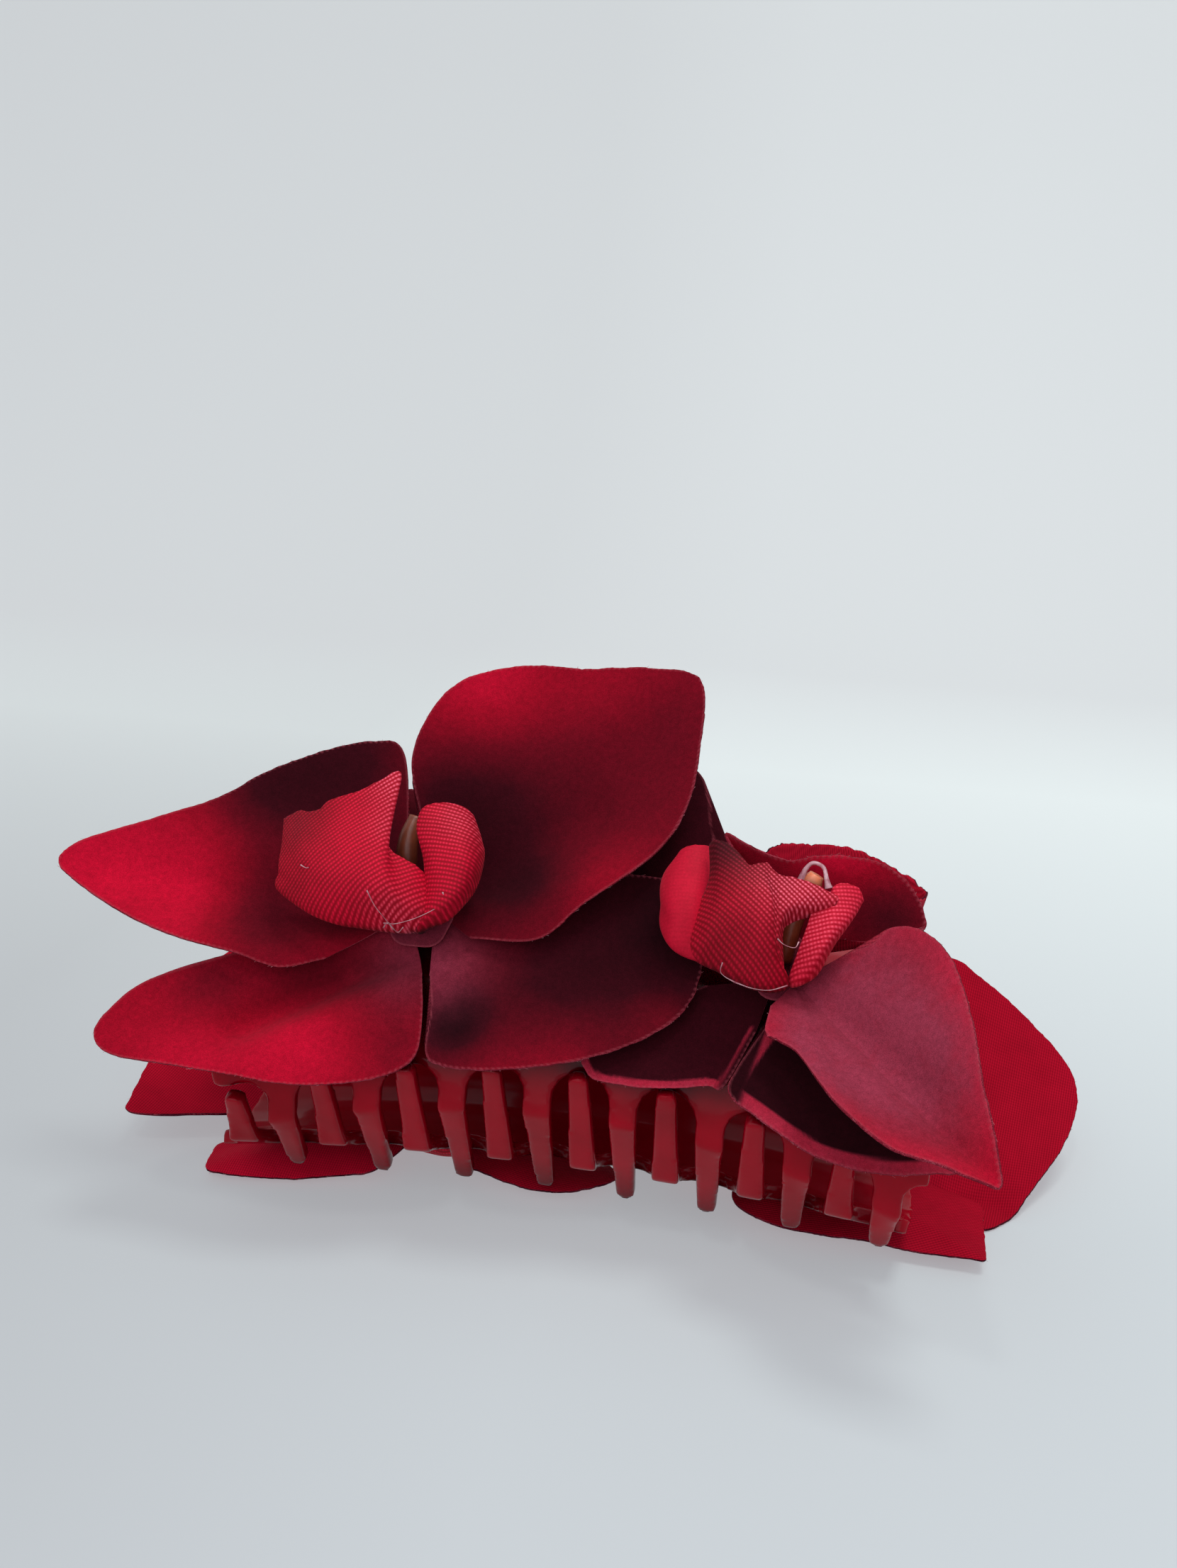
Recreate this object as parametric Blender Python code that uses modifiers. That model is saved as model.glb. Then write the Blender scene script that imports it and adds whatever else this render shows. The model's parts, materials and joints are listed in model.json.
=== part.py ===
"""Claw hair clip, 110 mm long, with four fabric orchids glued to its jaws.

Two identical moulded jaws swing on one steel pin and a torsion spring keeps their eight-tooth
combs interlocked. Two orchids sit on the upper jaw and two are pressed flat under the lower jaw,
where they carry the clip on a table.

The clip frame has its origin on the hinge axis: X runs along the clip, -Y points at the teeth and
+Z is the upper jaw's side. The clip frame is tipped TIP_ANGLE about X, teeth down, and the whole
model is moved so that the middle of its footprint is the world origin and the table is z = 0.
"""

import math

import bmesh
import bpy
from mathutils import Matrix, Vector

MM = 0.001

# ---- driving dimensions, in millimetres and degrees ------------------------------------------
HALF_LENGTH = 55.0          # clip, middle to end
TOOTH_PITCH = 13.2          # between teeth of one jaw
TEETH = 8                   # on each jaw
WALL = 2.3                  # moulded thickness
KNEE_REACH = 45.0           # hinge axis to the bend where the teeth start
KNEE_BOW = 6.0              # how much further forward the bend is at x = 50
KNEE_HEIGHT = 7.0           # bend above the mid plane
KNEE_DROP = 5.0             # how much lower the bend is at x = 50
TOOTH_LENGTH = 22.4         # middle teeth, bend to tip
TOOTH_SHORTENING = 0.5      # share of the length lost at the end teeth
TOOTH_LEAN = 3.0            # tips towards the hinge
TOOTH_HALF_WIDTH = 2.2      # at the bend
TIP_HALF_WIDTH = 1.5
TIP_ROUNDING = {0.98: 0.95, 1.0: 0.35}   # share of the tip's half width, by share of length
CORNER_CUT = 2.4            # off the comb's free front corner, along x
CORNER_PULL = 0.05          # and back along the shell, as a share of it
ARCH_DEPTH = 7.0            # slot beyond the bend, into the shell
END_MARGIN = 5.5            # from the clip's left end to its first slot's middle
HANDLE_HALF_WIDTH = 16.5
HANDLE_ROUNDING = 3.0       # of the thumb tab's free end
KNUCKLE_RADIUS = 3.3
KNUCKLE_WIDTH = 3.5
WEB_SECTION = ((-2.6, 1.2), (2.3, 5.2))   # block that joins a knuckle to the shell: y and z
PIN_RADIUS = 1.1
PIN_CLEARANCE = 0.3
PIN_HEAD_RADIUS = 1.87
PIN_HEAD_LENGTH = 0.9
WIRE_RADIUS = 0.5           # torsion spring
COIL_RADIUS = 2.3
COIL_TURNS = 5
COIL_PITCH = 2.4
COIL_START = 50.0           # angle where the wire leaves the coil, from +Z towards +Y
COIL_SHORTFALL = 80.0       # angle the last turn lacks, so the legs lie apart
LEG_BEND = (4.2, 3.2)       # y and z of the elbow in each spring leg
LEG_REACH = 8.0             # how far the legs run along the thumb tabs
TIP_ANGLE = 27.0            # clip frame about X, teeth down
HINGE_HEIGHT = 38.0         # hinge axis above the table
CLOTH = 0.5                 # thickness of a petal
BASE_RADIUS = 3.2           # of the ring where a flower's lobes start
FULL_CLIMB = 0.62           # share of a lobe's reach beyond which its edge is at full height
TILT_REACH = 25.0           # distance from the heart where a sideways lean is complete
LIP_BASE_RADIUS = 3.0
LIP_SPREAD = 128.0          # angle a cupped lip covers to each side of its middle
PRESSED_LIP = ((8.5, 0.0), (10.5, 0.5), (11.3, 1.0))   # radii, and heights as shares of depth
GAP = 0.3                   # between pieces that touch on the real clip

# Shell profile behind the bend: (forward of the hinge axis, above the mid plane).
SHELL_PROFILE = ((2.0, 6.2), (8.0, 14.0), (18.0, 19.4), (30.0, 18.6), (39.5, 12.6))
# Handle profile, from the shell's rear edge backwards. Its last stretch is the flat thumb pad.
HANDLE_PROFILE = ((-2.5, 6.4), (-7.5, 9.6), (-22.5, 23.0))
# Its width at those points and at the rounded end, as a share of the full width.
HANDLE_WIDTHS = (1.0, 0.95, 0.78, 0.6)

COLLECTION = "flower_hair_clip"

# ---- colours: base colour, roughness, metallic -----------------------------------------------
FINISHES = {
    "red_plastic": ((0.42, 0.016, 0.02), 0.28, 0.0),
    "steel": ((0.62, 0.62, 0.6), 0.3, 1.0),
    "petal_cloth": ((0.45, 0.008, 0.018), 0.85, 0.0),
    "lip_cloth": ((0.6, 0.012, 0.02), 0.8, 0.0),
    "column_plastic": ((0.35, 0.08, 0.02), 0.45, 0.0),
    "hot_glue": ((0.75, 0.72, 0.68), 0.4, 0.0),
}


# ---- scene helpers ----------------------------------------------------------------------------
def clear_scene():
    for obj in list(bpy.data.objects):
        bpy.data.objects.remove(obj, do_unlink=True)
    for collection in list(bpy.data.collections):
        bpy.data.collections.remove(collection)


def new_collection(name):
    collection = bpy.data.collections.new(name)
    bpy.context.scene.collection.children.link(collection)
    return collection


def material(name):
    found = bpy.data.materials.get(name)
    if found:
        return found
    colour, roughness, metallic = FINISHES[name]
    made = bpy.data.materials.new(name)
    made.use_nodes = True
    shader = made.node_tree.nodes["Principled BSDF"]
    shader.inputs["Base Color"].default_value = (*colour, 1.0)
    shader.inputs["Roughness"].default_value = roughness
    shader.inputs["Metallic"].default_value = metallic
    return made


def mesh_object(name, bm, finish, parent, collection, smooth=True):
    """Turn a bmesh in millimetres into a named object under an empty."""
    bmesh.ops.scale(bm, vec=Vector((MM, MM, MM)), verts=bm.verts)
    bmesh.ops.recalc_face_normals(bm, faces=bm.faces)
    mesh = bpy.data.meshes.new(name)
    bm.to_mesh(mesh)
    bm.free()
    mesh.materials.append(material(finish))
    if smooth:
        mesh.shade_smooth()
    obj = bpy.data.objects.new(name, mesh)
    collection.objects.link(obj)
    obj.parent = parent
    return obj


def add_solidify(obj, thickness, offset):
    thick = obj.modifiers.new("thickness", "SOLIDIFY")
    thick.thickness = thickness * MM
    thick.offset = offset
    thick.use_even_offset = True
    return thick


def add_boolean(obj, cutter, operation):
    cut = obj.modifiers.new(operation.lower() + "_" + cutter.name, "BOOLEAN")
    cut.operation = operation
    cut.object = cutter
    cut.solver = "EXACT"
    return cut


def hide_helper(obj):
    obj.hide_render = True
    obj.display_type = "WIRE"


def grid_faces(bm, grid):
    """Quads between neighbouring points of a grid of vertices, rows of equal length."""
    for row, following in zip(grid, grid[1:]):
        for k in range(len(row) - 1):
            bm.faces.new((row[k], row[k + 1], following[k + 1], following[k]))


def smoothstep(t):
    t = min(max(t, 0.0), 1.0)
    return t * t * (3.0 - 2.0 * t)


# ---- jaws -------------------------------------------------------------------------------------
def catmull_rom(points, samples):
    """Even samples in each span of a smooth curve through the points."""
    ends = [2 * points[0] - points[1], *points, 2 * points[-1] - points[-2]]
    curve = []
    for a, b, c, d in zip(ends, ends[1:], ends[2:], ends[3:]):
        for k in range(samples):
            t = k / samples
            curve.append(
                0.5
                * (
                    2 * b
                    + (c - a) * t
                    + (2 * a - 5 * b + 4 * c - d) * t * t
                    + (3 * b - a - 3 * c + d) * t ** 3
                )
            )
    return curve + [points[-1]]


def knee(x):
    """The bend at a place along the clip: (forward, up)."""
    q = (x / 50.0) ** 2
    return Vector((KNEE_REACH + KNEE_BOW * q, KNEE_HEIGHT - KNEE_DROP * q))


def tooth_length(x):
    return TOOTH_LENGTH * (1.0 - TOOTH_SHORTENING * (abs(x) / 48.5) ** 2.2)


def shell_curve(x):
    """Outer surface from the shell's rear edge to the bend, as (forward, up) points."""
    bend = knee(x)
    stretch = bend.x / KNEE_REACH
    flatten = 1.0 - 0.14 * (x / HALF_LENGTH) ** 2
    points = [Vector((f * stretch, u * flatten)) for f, u in SHELL_PROFILE]
    return catmull_rom([*points, bend], 4)


def at_distance(curve, distance):
    """The point this far along a polyline, measured back from its last point."""
    left = distance
    for a, b in zip(reversed(curve), list(reversed(curve))[1:]):
        step = (b - a).length
        if left <= step:
            return a + (b - a) * (left / step)
        left -= step
    return curve[0]


def curve_length(curve):
    return sum((b - a).length for a, b in zip(curve, curve[1:]))


ARCH_RADIUS = TOOTH_PITCH / 2 - TOOTH_HALF_WIDTH
ARCH_ROWS = (0.35, 1.3, 2.7, ARCH_RADIUS, ARCH_DEPTH)   # distances from the arch's apex
TOOTH_ROWS = (0.25, 0.5, 0.75, 0.92, 0.98, 1.0)         # shares of the tooth's length
SHELL_ROWS = (0.0, 0.2, 0.4, 0.6, 0.8, 1.0)             # shares from rear edge to arch


def arch_half_width(distance):
    """Half width of the plastic between two slots, this far from the slots' apex."""
    if distance >= ARCH_RADIUS:
        return TOOTH_HALF_WIDTH
    return TOOTH_PITCH / 2 - math.sqrt(distance * (2 * ARCH_RADIUS - distance))


def tooth_half_width(share):
    if share <= 0.92:
        return TOOTH_HALF_WIDTH + (TIP_HALF_WIDTH - TOOTH_HALF_WIDTH) * share
    return TIP_ROUNDING[share] * TIP_HALF_WIDTH


def surface_point(x, f, u):
    return Vector((x, -f, u))


def shell_point(x, share):
    """A point between the rear edge (0) and the line through the arches' apexes (1)."""
    curve = shell_curve(x)
    total = curve_length(curve)
    spot = at_distance(curve, total - share * (total - ARCH_DEPTH))
    return surface_point(x, spot.x, spot.y)


def strip_rows(centre, offset_share):
    """Points down one tooth's strip: slot arch, bend and tooth. offset_share is -1, 0 or 1."""
    points = []
    bend = knee(centre)
    for distance in ARCH_ROWS:
        x = centre + offset_share * arch_half_width(distance)
        x = min(x, HALF_LENGTH)
        spot = at_distance(shell_curve(x), ARCH_DEPTH - distance)
        points.append(surface_point(x, spot.x, spot.y))
    lean = math.radians(TOOTH_LEAN)
    length = tooth_length(centre)
    for share in TOOTH_ROWS:
        x = centre + offset_share * tooth_half_width(share)
        forward = bend.x - share * length * math.sin(lean)
        points.append(surface_point(x, forward, bend.y - share * length * math.cos(lean)))
    return points


def jaw_sheet():
    """The outer surface of one jaw: shell, comb and handle as one sheet of quads."""
    first = -HALF_LENGTH + END_MARGIN + TOOTH_PITCH / 2
    centres = [first + k * TOOTH_PITCH for k in range(TEETH)]
    columns = [-HALF_LENGTH, -HALF_LENGTH + 2.7]
    for centre in centres:
        columns += [centre - TOOTH_PITCH / 2, centre]
    columns.append(HALF_LENGTH)
    bm = bmesh.new()
    shell = {}
    for c, x in enumerate(columns):
        for r, share in enumerate(SHELL_ROWS):
            corner = smoothstep((share - 0.7) / 0.3) if c == 0 else 0.0
            point = shell_point(x + CORNER_CUT * corner, share - CORNER_PULL * corner)
            shell[c, r] = bm.verts.new(point)
    last_row = len(SHELL_ROWS) - 1
    for c in range(len(columns) - 1):
        for r in range(last_row):
            bm.faces.new((shell[c, r], shell[c + 1, r], shell[c + 1, r + 1], shell[c, r + 1]))
    for k, centre in enumerate(centres):
        c = 3 + 2 * k
        tops = [shell[c - 1, last_row], shell[c, last_row], shell[c + 1, last_row]]
        sides = [strip_rows(centre, share) for share in (-1, 0, 1)]
        rows = [tops]
        for r in range(len(sides[0])):
            rows.append([bm.verts.new(side[r]) for side in sides])
        grid_faces(bm, rows)
    add_handle_rows(bm, shell, columns)
    return bm


def add_handle_rows(bm, shell, columns):
    """Carry the sheet backwards as the thumb tab, over the columns at the clip's middle."""
    middle = [c for c, x in enumerate(columns) if abs(x) < HANDLE_HALF_WIDTH + 0.1]
    bend, edge = (Vector(spot) for spot in HANDLE_PROFILE[-2:])
    end = edge + (edge - bend).normalized() * HANDLE_ROUNDING
    rows = [[shell[c, 0] for c in middle]]
    for width, (forward, up) in zip(HANDLE_WIDTHS, (*HANDLE_PROFILE, end)):
        rows.append([bm.verts.new(surface_point(columns[c] * width, forward, up)) for c in middle])
    grid_faces(bm, rows)


def cylinder_along_x(name, radius, x_from, x_to, sides, parent, collection, finish="steel"):
    bm = bmesh.new()
    bmesh.ops.create_cone(
        bm, cap_ends=True, segments=sides, radius1=radius, radius2=radius, depth=x_to - x_from
    )
    turn = Matrix.Rotation(math.radians(90), 4, "Y")
    move = Matrix.Translation(((x_from + x_to) / 2, 0, 0))
    bmesh.ops.transform(bm, matrix=move @ turn, verts=bm.verts)
    return mesh_object(name, bm, finish, parent, collection)


def box_between(name, low, high, parent, collection):
    bm = bmesh.new()
    bmesh.ops.create_cube(bm, size=1.0)
    size = Vector(high) - Vector(low)
    bmesh.ops.scale(bm, vec=size, verts=bm.verts)
    bmesh.ops.translate(bm, vec=(Vector(high) + Vector(low)) / 2, verts=bm.verts)
    return mesh_object(name, bm, "steel", parent, collection, smooth=False)


KNUCKLES = ((-16.5, -16.5 + KNUCKLE_WIDTH), (9.2, 9.2 + KNUCKLE_WIDTH))


def make_jaw(name, parent, collection, cutters):
    """One moulding: comb shell and thumb tab, with two knuckles on the hinge axis."""
    jaw = mesh_object(name, jaw_sheet(), "red_plastic", parent, collection)
    add_solidify(jaw, WALL, -1.0)
    for k, (start, stop) in enumerate(KNUCKLES):
        label = f"{name}_knuckle_{k}"
        barrel = cylinder_along_x(label, KNUCKLE_RADIUS, start, stop, 20, parent, cutters)
        low, high = WEB_SECTION
        web = box_between(label + "_web", (start, *low), (stop, *high), parent, cutters)
        for piece in (barrel, web):
            hide_helper(piece)
            add_boolean(jaw, piece, "UNION")
        hole = cylinder_along_x(
            label + "_hole", PIN_RADIUS + PIN_CLEARANCE, start - 1, stop + 1, 16, parent, cutters
        )
        hide_helper(hole)
        add_boolean(jaw, hole, "DIFFERENCE")
    return jaw


def make_pin(parent, collection):
    """Steel pin along the hinge axis: a plain shank with a low head at each end."""
    bm = bmesh.new()
    end = HANDLE_HALF_WIDTH + GAP
    head = PIN_HEAD_LENGTH
    head_radius = PIN_HEAD_RADIUS
    outline = (
        (0.0, end + head),
        (PIN_RADIUS, end + head),
        (head_radius, end + head * 0.5),
        (head_radius, end),
        (PIN_RADIUS, end),
        (PIN_RADIUS, -end),
        (head_radius, -end),
        (head_radius, -end - head * 0.5),
        (PIN_RADIUS, -end - head),
        (0.0, -end - head),
    )
    verts = [bm.verts.new((r, 0.0, z)) for r, z in outline]
    for a, b in zip(verts, verts[1:]):
        bm.edges.new((a, b))
    pin = mesh_object("hinge_pin", bm, "steel", parent, collection)
    pin.rotation_euler = (0.0, math.radians(90), 0.0)
    turn = pin.modifiers.new("turned", "SCREW")
    turn.steps = 16
    turn.render_steps = 16
    turn.use_merge_vertices = True
    turn.merge_threshold = 0.00005
    return pin


def make_spring(parent, collection):
    """Torsion spring round the pin, one leg under each thumb tab."""
    steps = 12
    half = COIL_TURNS * COIL_PITCH / 2
    start_angle = math.radians(COIL_START)
    points = []
    count = COIL_TURNS * steps
    sweep = 2 * math.pi * COIL_TURNS - math.radians(COIL_SHORTFALL)
    for k in range(count + 1):
        share = k / count
        angle = start_angle - sweep * share
        points.append(
            Vector((
                -half + 2 * half * share,
                COIL_RADIUS * math.sin(angle),
                COIL_RADIUS * math.cos(angle),
            ))
        )
    bend, pad = (Vector((0.0, -f, u)) for f, u in HANDLE_PROFILE[1:])
    along = (pad - bend).normalized()
    inward = Vector((0.0, along.z, -along.y))
    tip = bend + along * LEG_REACH + inward * (WALL + WIRE_RADIUS + GAP)
    elbow_y, elbow_z = LEG_BEND
    first, last = points[0].x, points[-1].x
    upper_leg = [Vector((first, tip.y, tip.z)), Vector((first, elbow_y, elbow_z))]
    lower_leg = [Vector((last, elbow_y, -elbow_z)), Vector((last, tip.y, -tip.z))]
    points = upper_leg + points + lower_leg
    curve = bpy.data.curves.new("torsion_spring", "CURVE")
    curve.dimensions = "3D"
    curve.bevel_depth = WIRE_RADIUS * MM
    curve.bevel_resolution = 1
    curve.render_resolution_u = 0
    curve.use_fill_caps = True
    spline = curve.splines.new("POLY")
    spline.points.add(len(points) - 1)
    for spot, point in zip(spline.points, points):
        spot.co = (*(point * MM), 1.0)
    curve.materials.append(material("steel"))
    spring = bpy.data.objects.new("torsion_spring", curve)
    collection.objects.link(spring)
    spring.parent = parent
    return spring


# ---- orchids ----------------------------------------------------------------------------------
def polar(azimuth, distance):
    turn = math.radians(azimuth)
    return Vector((distance * math.cos(turn), distance * math.sin(turn)))


def lobe_sheet(outline, layer=0.0, rise=0.0, bend=1.5, tilt=0.0, cup=0.0, lowest=None, rows=3):
    """One petal or sepal in its flower's frame, as a sheet spread from a narrow base.

    outline runs round the free edge as (azimuth, distance from the heart). The sheet starts at
    layer, climbs by rise towards its edge, leans sideways by tilt and cups across. lowest is
    the height of the table it may rest on.
    """
    tip_azimuth, reach = max(outline, key=lambda spot: spot[1])
    ahead = polar(tip_azimuth, 1.0)
    across = Vector((-ahead.y, ahead.x))
    edge = catmull_rom([polar(*spot) for spot in outline], 2)
    base_start = 0.75 * outline[0][0] + 0.25 * outline[-1][0]
    base_end = 0.25 * outline[0][0] + 0.75 * outline[-1][0]
    bm = bmesh.new()
    grid = []
    for r in range(rows + 1):
        share = r / rows
        line = []
        for c, rim in enumerate(edge):
            base_azimuth = base_start + (base_end - base_start) * c / (len(edge) - 1)
            spot = polar(base_azimuth, BASE_RADIUS).lerp(rim, share)
            side = spot.dot(across)
            climb = spot.length / max(rim.length, FULL_CLIMB * reach)
            height = layer + rise * climb ** bend + cup * side * side / reach
            height += tilt * side * smoothstep(spot.length / TILT_REACH)
            if lowest is not None:
                height = max(height, lowest)
            line.append(bm.verts.new((spot.x, spot.y, height)))
        grid.append(line)
    grid_faces(bm, grid)
    return bm


def cup_lip_sheet(azimuth, radius, height, side_radius, side_height, layer):
    """An open orchid lip: a cup with a tall flared middle lobe and two lower side lobes."""
    bm = bmesh.new()
    grid = []
    turns = 12
    spread = math.radians(LIP_SPREAD)
    for r in range(5):
        t = r / 4
        line = []
        for c in range(turns + 1):
            angle = spread * (2 * c / turns - 1)
            middle = math.cos(angle / 2) ** 4
            out = side_radius + (radius - side_radius) * middle
            tall = side_height + (height - side_height) * middle
            flare = 0.35 * t + 0.65 * t * t
            reach = LIP_BASE_RADIUS + (out - LIP_BASE_RADIUS) * flare
            direction = math.radians(azimuth) + angle
            line.append(
                bm.verts.new((
                    reach * math.cos(direction), reach * math.sin(direction), layer + tall * t
                ))
            )
        grid.append(line)
    grid_faces(bm, grid)
    return bm


def pressed_lip_sheet(floor, depth):
    """A lip pressed flat on the table: a shallow dish whose middle is one flat face."""
    bm = bmesh.new()
    sides = 16
    rings = []
    for radius, share in PRESSED_LIP:
        ring = []
        for k in range(sides):
            angle = 2 * math.pi * k / sides
            ring.append(
                bm.verts.new((
                    radius * math.cos(angle), radius * math.sin(angle), floor + share * depth
                ))
            )
        rings.append(ring)
    bm.faces.new(rings[0])
    for low, high in zip(rings, rings[1:]):
        for k in range(sides):
            n = (k + 1) % sides
            bm.faces.new((low[k], low[n], high[n], high[k]))
    return bm


def make_column(name, points, radius, parent, collection):
    """The orchid's column: a short bent peg."""
    curve = bpy.data.curves.new(name, "CURVE")
    curve.dimensions = "3D"
    curve.bevel_depth = radius * MM
    curve.bevel_resolution = 1
    curve.render_resolution_u = 0
    curve.use_fill_caps = True
    spline = curve.splines.new("POLY")
    spline.points.add(len(points) - 1)
    for spot, point in zip(spline.points, points):
        spot.co = (*(Vector(point) * MM), 1.0)
    curve.materials.append(material("column_plastic"))
    column = bpy.data.objects.new(name, curve)
    collection.objects.link(column)
    column.parent = parent
    return column


def flower_frame(name, centre, tilt, parent, collection):
    """An empty at a flower's heart. Its Z axis leans tilt degrees towards the teeth."""
    empty = bpy.data.objects.new(name, None)
    collection.objects.link(empty)
    empty.parent = parent
    empty.location = Vector(centre) * MM
    empty.rotation_euler = (math.radians(tilt), 0.0, 0.0)
    return empty


def make_lobes(flower, lobes, frame, collection, lowest=None):
    for part, shape in lobes.items():
        bm = lobe_sheet(**shape, lowest=lowest)
        lobe = mesh_object(f"{flower}_{part}", bm, "petal_cloth", frame, collection)
        add_solidify(lobe, CLOTH, 0.0).use_even_offset = False


def make_glue(name, radius, bottom, top, frame, turn, collection, back=0.0):
    bm = bmesh.new()
    bmesh.ops.create_cone(
        bm, cap_ends=True, segments=14, radius1=radius, radius2=radius * 0.9, depth=top - bottom
    )
    bmesh.ops.translate(bm, vec=(0, back, (top + bottom) / 2), verts=bm.verts)
    glue = mesh_object(name, bm, "hot_glue", frame, collection, smooth=False)
    glue.rotation_euler = (math.radians(turn), 0.0, 0.0)
    return glue


# Upper orchids. Azimuths turn from +X towards the hinge, in the plane of each flower. A lobe's
# outline lists only its corners and widest places.
UPPER_TILT = 22.0
UPPER_LEFT = {
    "centre": (-24.5, -23.5, 23.6),
    "lobes": {
        "dorsal_sepal": dict(outline=((92, 8), (96, 20), (110, 28), (122, 21), (126, 8)),
                             rise=-10),
        "left_sepal": dict(outline=((193, 12), (199, 34), (209, 52), (218, 47), (246, 31),
                                    (266, 24.5), (281.5, 21.5), (278, 9)), rise=3.5),
        "right_sepal": dict(outline=((290, 9), (286, 21.5), (318, 32), (341, 41.5), (351, 44.5),
                                     (364, 44), (374, 39), (380, 26), (381, 12)), rise=3.5),
        "left_petal": dict(outline=((112, 10), (107, 26), (131, 34.5), (160, 43.5), (178, 59),
                                    (185, 52), (201, 30), (214, 14)), layer=1.4, rise=4),
        "right_petal": dict(outline=((-8, 9), (0, 21), (25, 42), (46.5, 57), (74, 46.5),
                                     (96, 38), (104, 24), (106, 10)), layer=1.4, rise=6.5),
    },
    "lip": dict(azimuth=128, radius=22, height=15, side_radius=12, side_height=11, layer=2.6),
    "column": ((0, 0.5, 3.4), (-0.5, 2.5, 7.0), (-1.5, 6.5, 9.5)),
}
UPPER_RIGHT = {
    "centre": (32.0, -26.0, 23.6),
    "lobes": {
        "dorsal_sepal": dict(outline=((40, 8), (18, 19.5), (46, 22.5), (72, 19.5), (95, 16.5),
                                      (118, 23), (112, 8)), rise=8),
        "left_sepal": dict(outline=((196, 12), (205, 30), (214, 33), (236, 25), (251, 21),
                                    (250, 10)), rise=-0.6),
        "right_sepal": dict(outline=((258, 10), (254.5, 20.5), (289, 27.5), (309, 35), (317, 37),
                                     (324, 30), (326, 12)), rise=3.0, cup=0.3),
        "left_petal": dict(outline=((131, 9), (126, 24), (119, 36), (124, 40), (140, 36),
                                    (152, 28), (172, 10)), layer=1.4, rise=-3.0, bend=2.0),
        "right_petal": dict(outline=((274, 6), (279, 12.5), (297, 21), (308, 34), (314.5, 42),
                                     (324, 38), (346, 27.5), (368, 22.5), (376, 10)),
                            layer=1.4, rise=19, bend=1.4),
    },
    "lip": dict(azimuth=118, radius=18, height=14, side_radius=11, side_height=11, layer=2.6),
    "column": ((0, 0.5, 3.4), (0.6, 2.5, 7.0), (1.6, 4.5, 10.0)),
}
# Lower orchids lie flat: their frames are level with the table, with +Z towards the jaw.
LOWER_HEART_HEIGHT = 5.8
LOWER_HEART_BACK = -10.9    # level distance from the hinge axis
LOWER_LEFT = {
    "x": -24.5,
    "lobes": {
        "dorsal_sepal": dict(outline=((98, 12), (102, 30), (116, 41), (128, 37), (138, 27),
                                      (136, 12)), layer=0.4, rise=2),
        "left_sepal": dict(outline=((211, 12), (208, 36), (215, 43), (230, 33), (248, 21),
                                    (258, 11)), rise=-4.4, bend=2.0),
        "right_sepal": dict(outline=((280, 10), (293, 21), (314, 31), (328, 34), (339, 34.5),
                                     (347, 24), (350, 11)), rise=-3.2, bend=2.0),
        "left_petal": dict(outline=((142, 14), (147, 42), (158, 52), (183, 56), (190, 57.5),
                                    (197, 56), (202, 42), (203, 14)), layer=-0.8, rise=1.5,
                           tilt=-0.42),
        "right_petal": dict(outline=((30, 12), (38, 40), (55, 50), (70, 42), (80, 12)),
                            layer=-0.8, rise=5),
    },
}
LOWER_RIGHT = {
    "x": 32.0,
    "lobes": {
        "dorsal_sepal": dict(outline=((64, 12), (53, 38), (58, 37), (69, 33), (86, 31),
                                      (103, 32), (98, 12)), layer=0.4, rise=41, bend=2.6,
                             tilt=0.15),
        "left_sepal": dict(outline=((184, 9), (192, 20), (210, 24), (226, 20), (238, 9)),
                           rise=-2.5),
        "right_sepal": dict(outline=((250, 9), (250, 14.5), (280, 21), (305, 28.5), (327, 41),
                                     (341, 34), (346, 12)), rise=-4.0, bend=2.0),
        "left_petal": dict(outline=((120, 12), (130, 30), (146, 36), (160, 31), (172, 20), (170, 10)),
                           layer=-0.8, rise=-1),
        "right_petal": dict(outline=((352, 12), (346, 38), (361, 45.5), (379, 55.5), (388, 53),
                                     (400, 47.5), (407, 41), (404, 14)), layer=-0.8, rise=10.5,
                            tilt=0.6),
    },
}


def make_upper_orchid(flower, design, body, collection):
    frame = flower_frame(flower, design["centre"], UPPER_TILT, body, collection)
    make_lobes(flower, design["lobes"], frame, collection)
    lip = mesh_object(
        f"{flower}_lip", cup_lip_sheet(**design["lip"]), "lip_cloth", frame, collection
    )
    add_solidify(lip, CLOTH, 0.0)
    make_column(f"{flower}_column", design["column"], 1.3, frame, collection)
    make_glue(f"{flower}_glue_pad", 4.5, -3.7, -2.0, frame, -UPPER_TILT, collection, back=1.2)


def make_lower_orchid(flower, design, body, collection):
    tip = math.radians(TIP_ANGLE)
    back, height = LOWER_HEART_BACK, LOWER_HEART_HEIGHT - HINGE_HEIGHT
    centre = (
        design["x"],
        back * math.cos(tip) + height * math.sin(tip),
        height * math.cos(tip) - back * math.sin(tip),
    )
    frame = flower_frame(flower, centre, -TIP_ANGLE, body, collection)
    floor = -LOWER_HEART_HEIGHT
    make_lobes(flower, design["lobes"], frame, collection, lowest=floor + CLOTH)
    lip = mesh_object(
        f"{flower}_lip", pressed_lip_sheet(floor, 3.0), "lip_cloth", frame, collection
    )
    add_solidify(lip, CLOTH, -1.0)
    peg = floor + 1.9
    make_column(
        f"{flower}_column", ((-3.5, 0, peg), (0, 0.5, peg + 0.4), (3.5, 0, peg)),
        1.1, frame, collection,
    )
    make_glue(f"{flower}_glue_pad", 4.0, 1.2, 2.4, frame, 0.0, collection)


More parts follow.
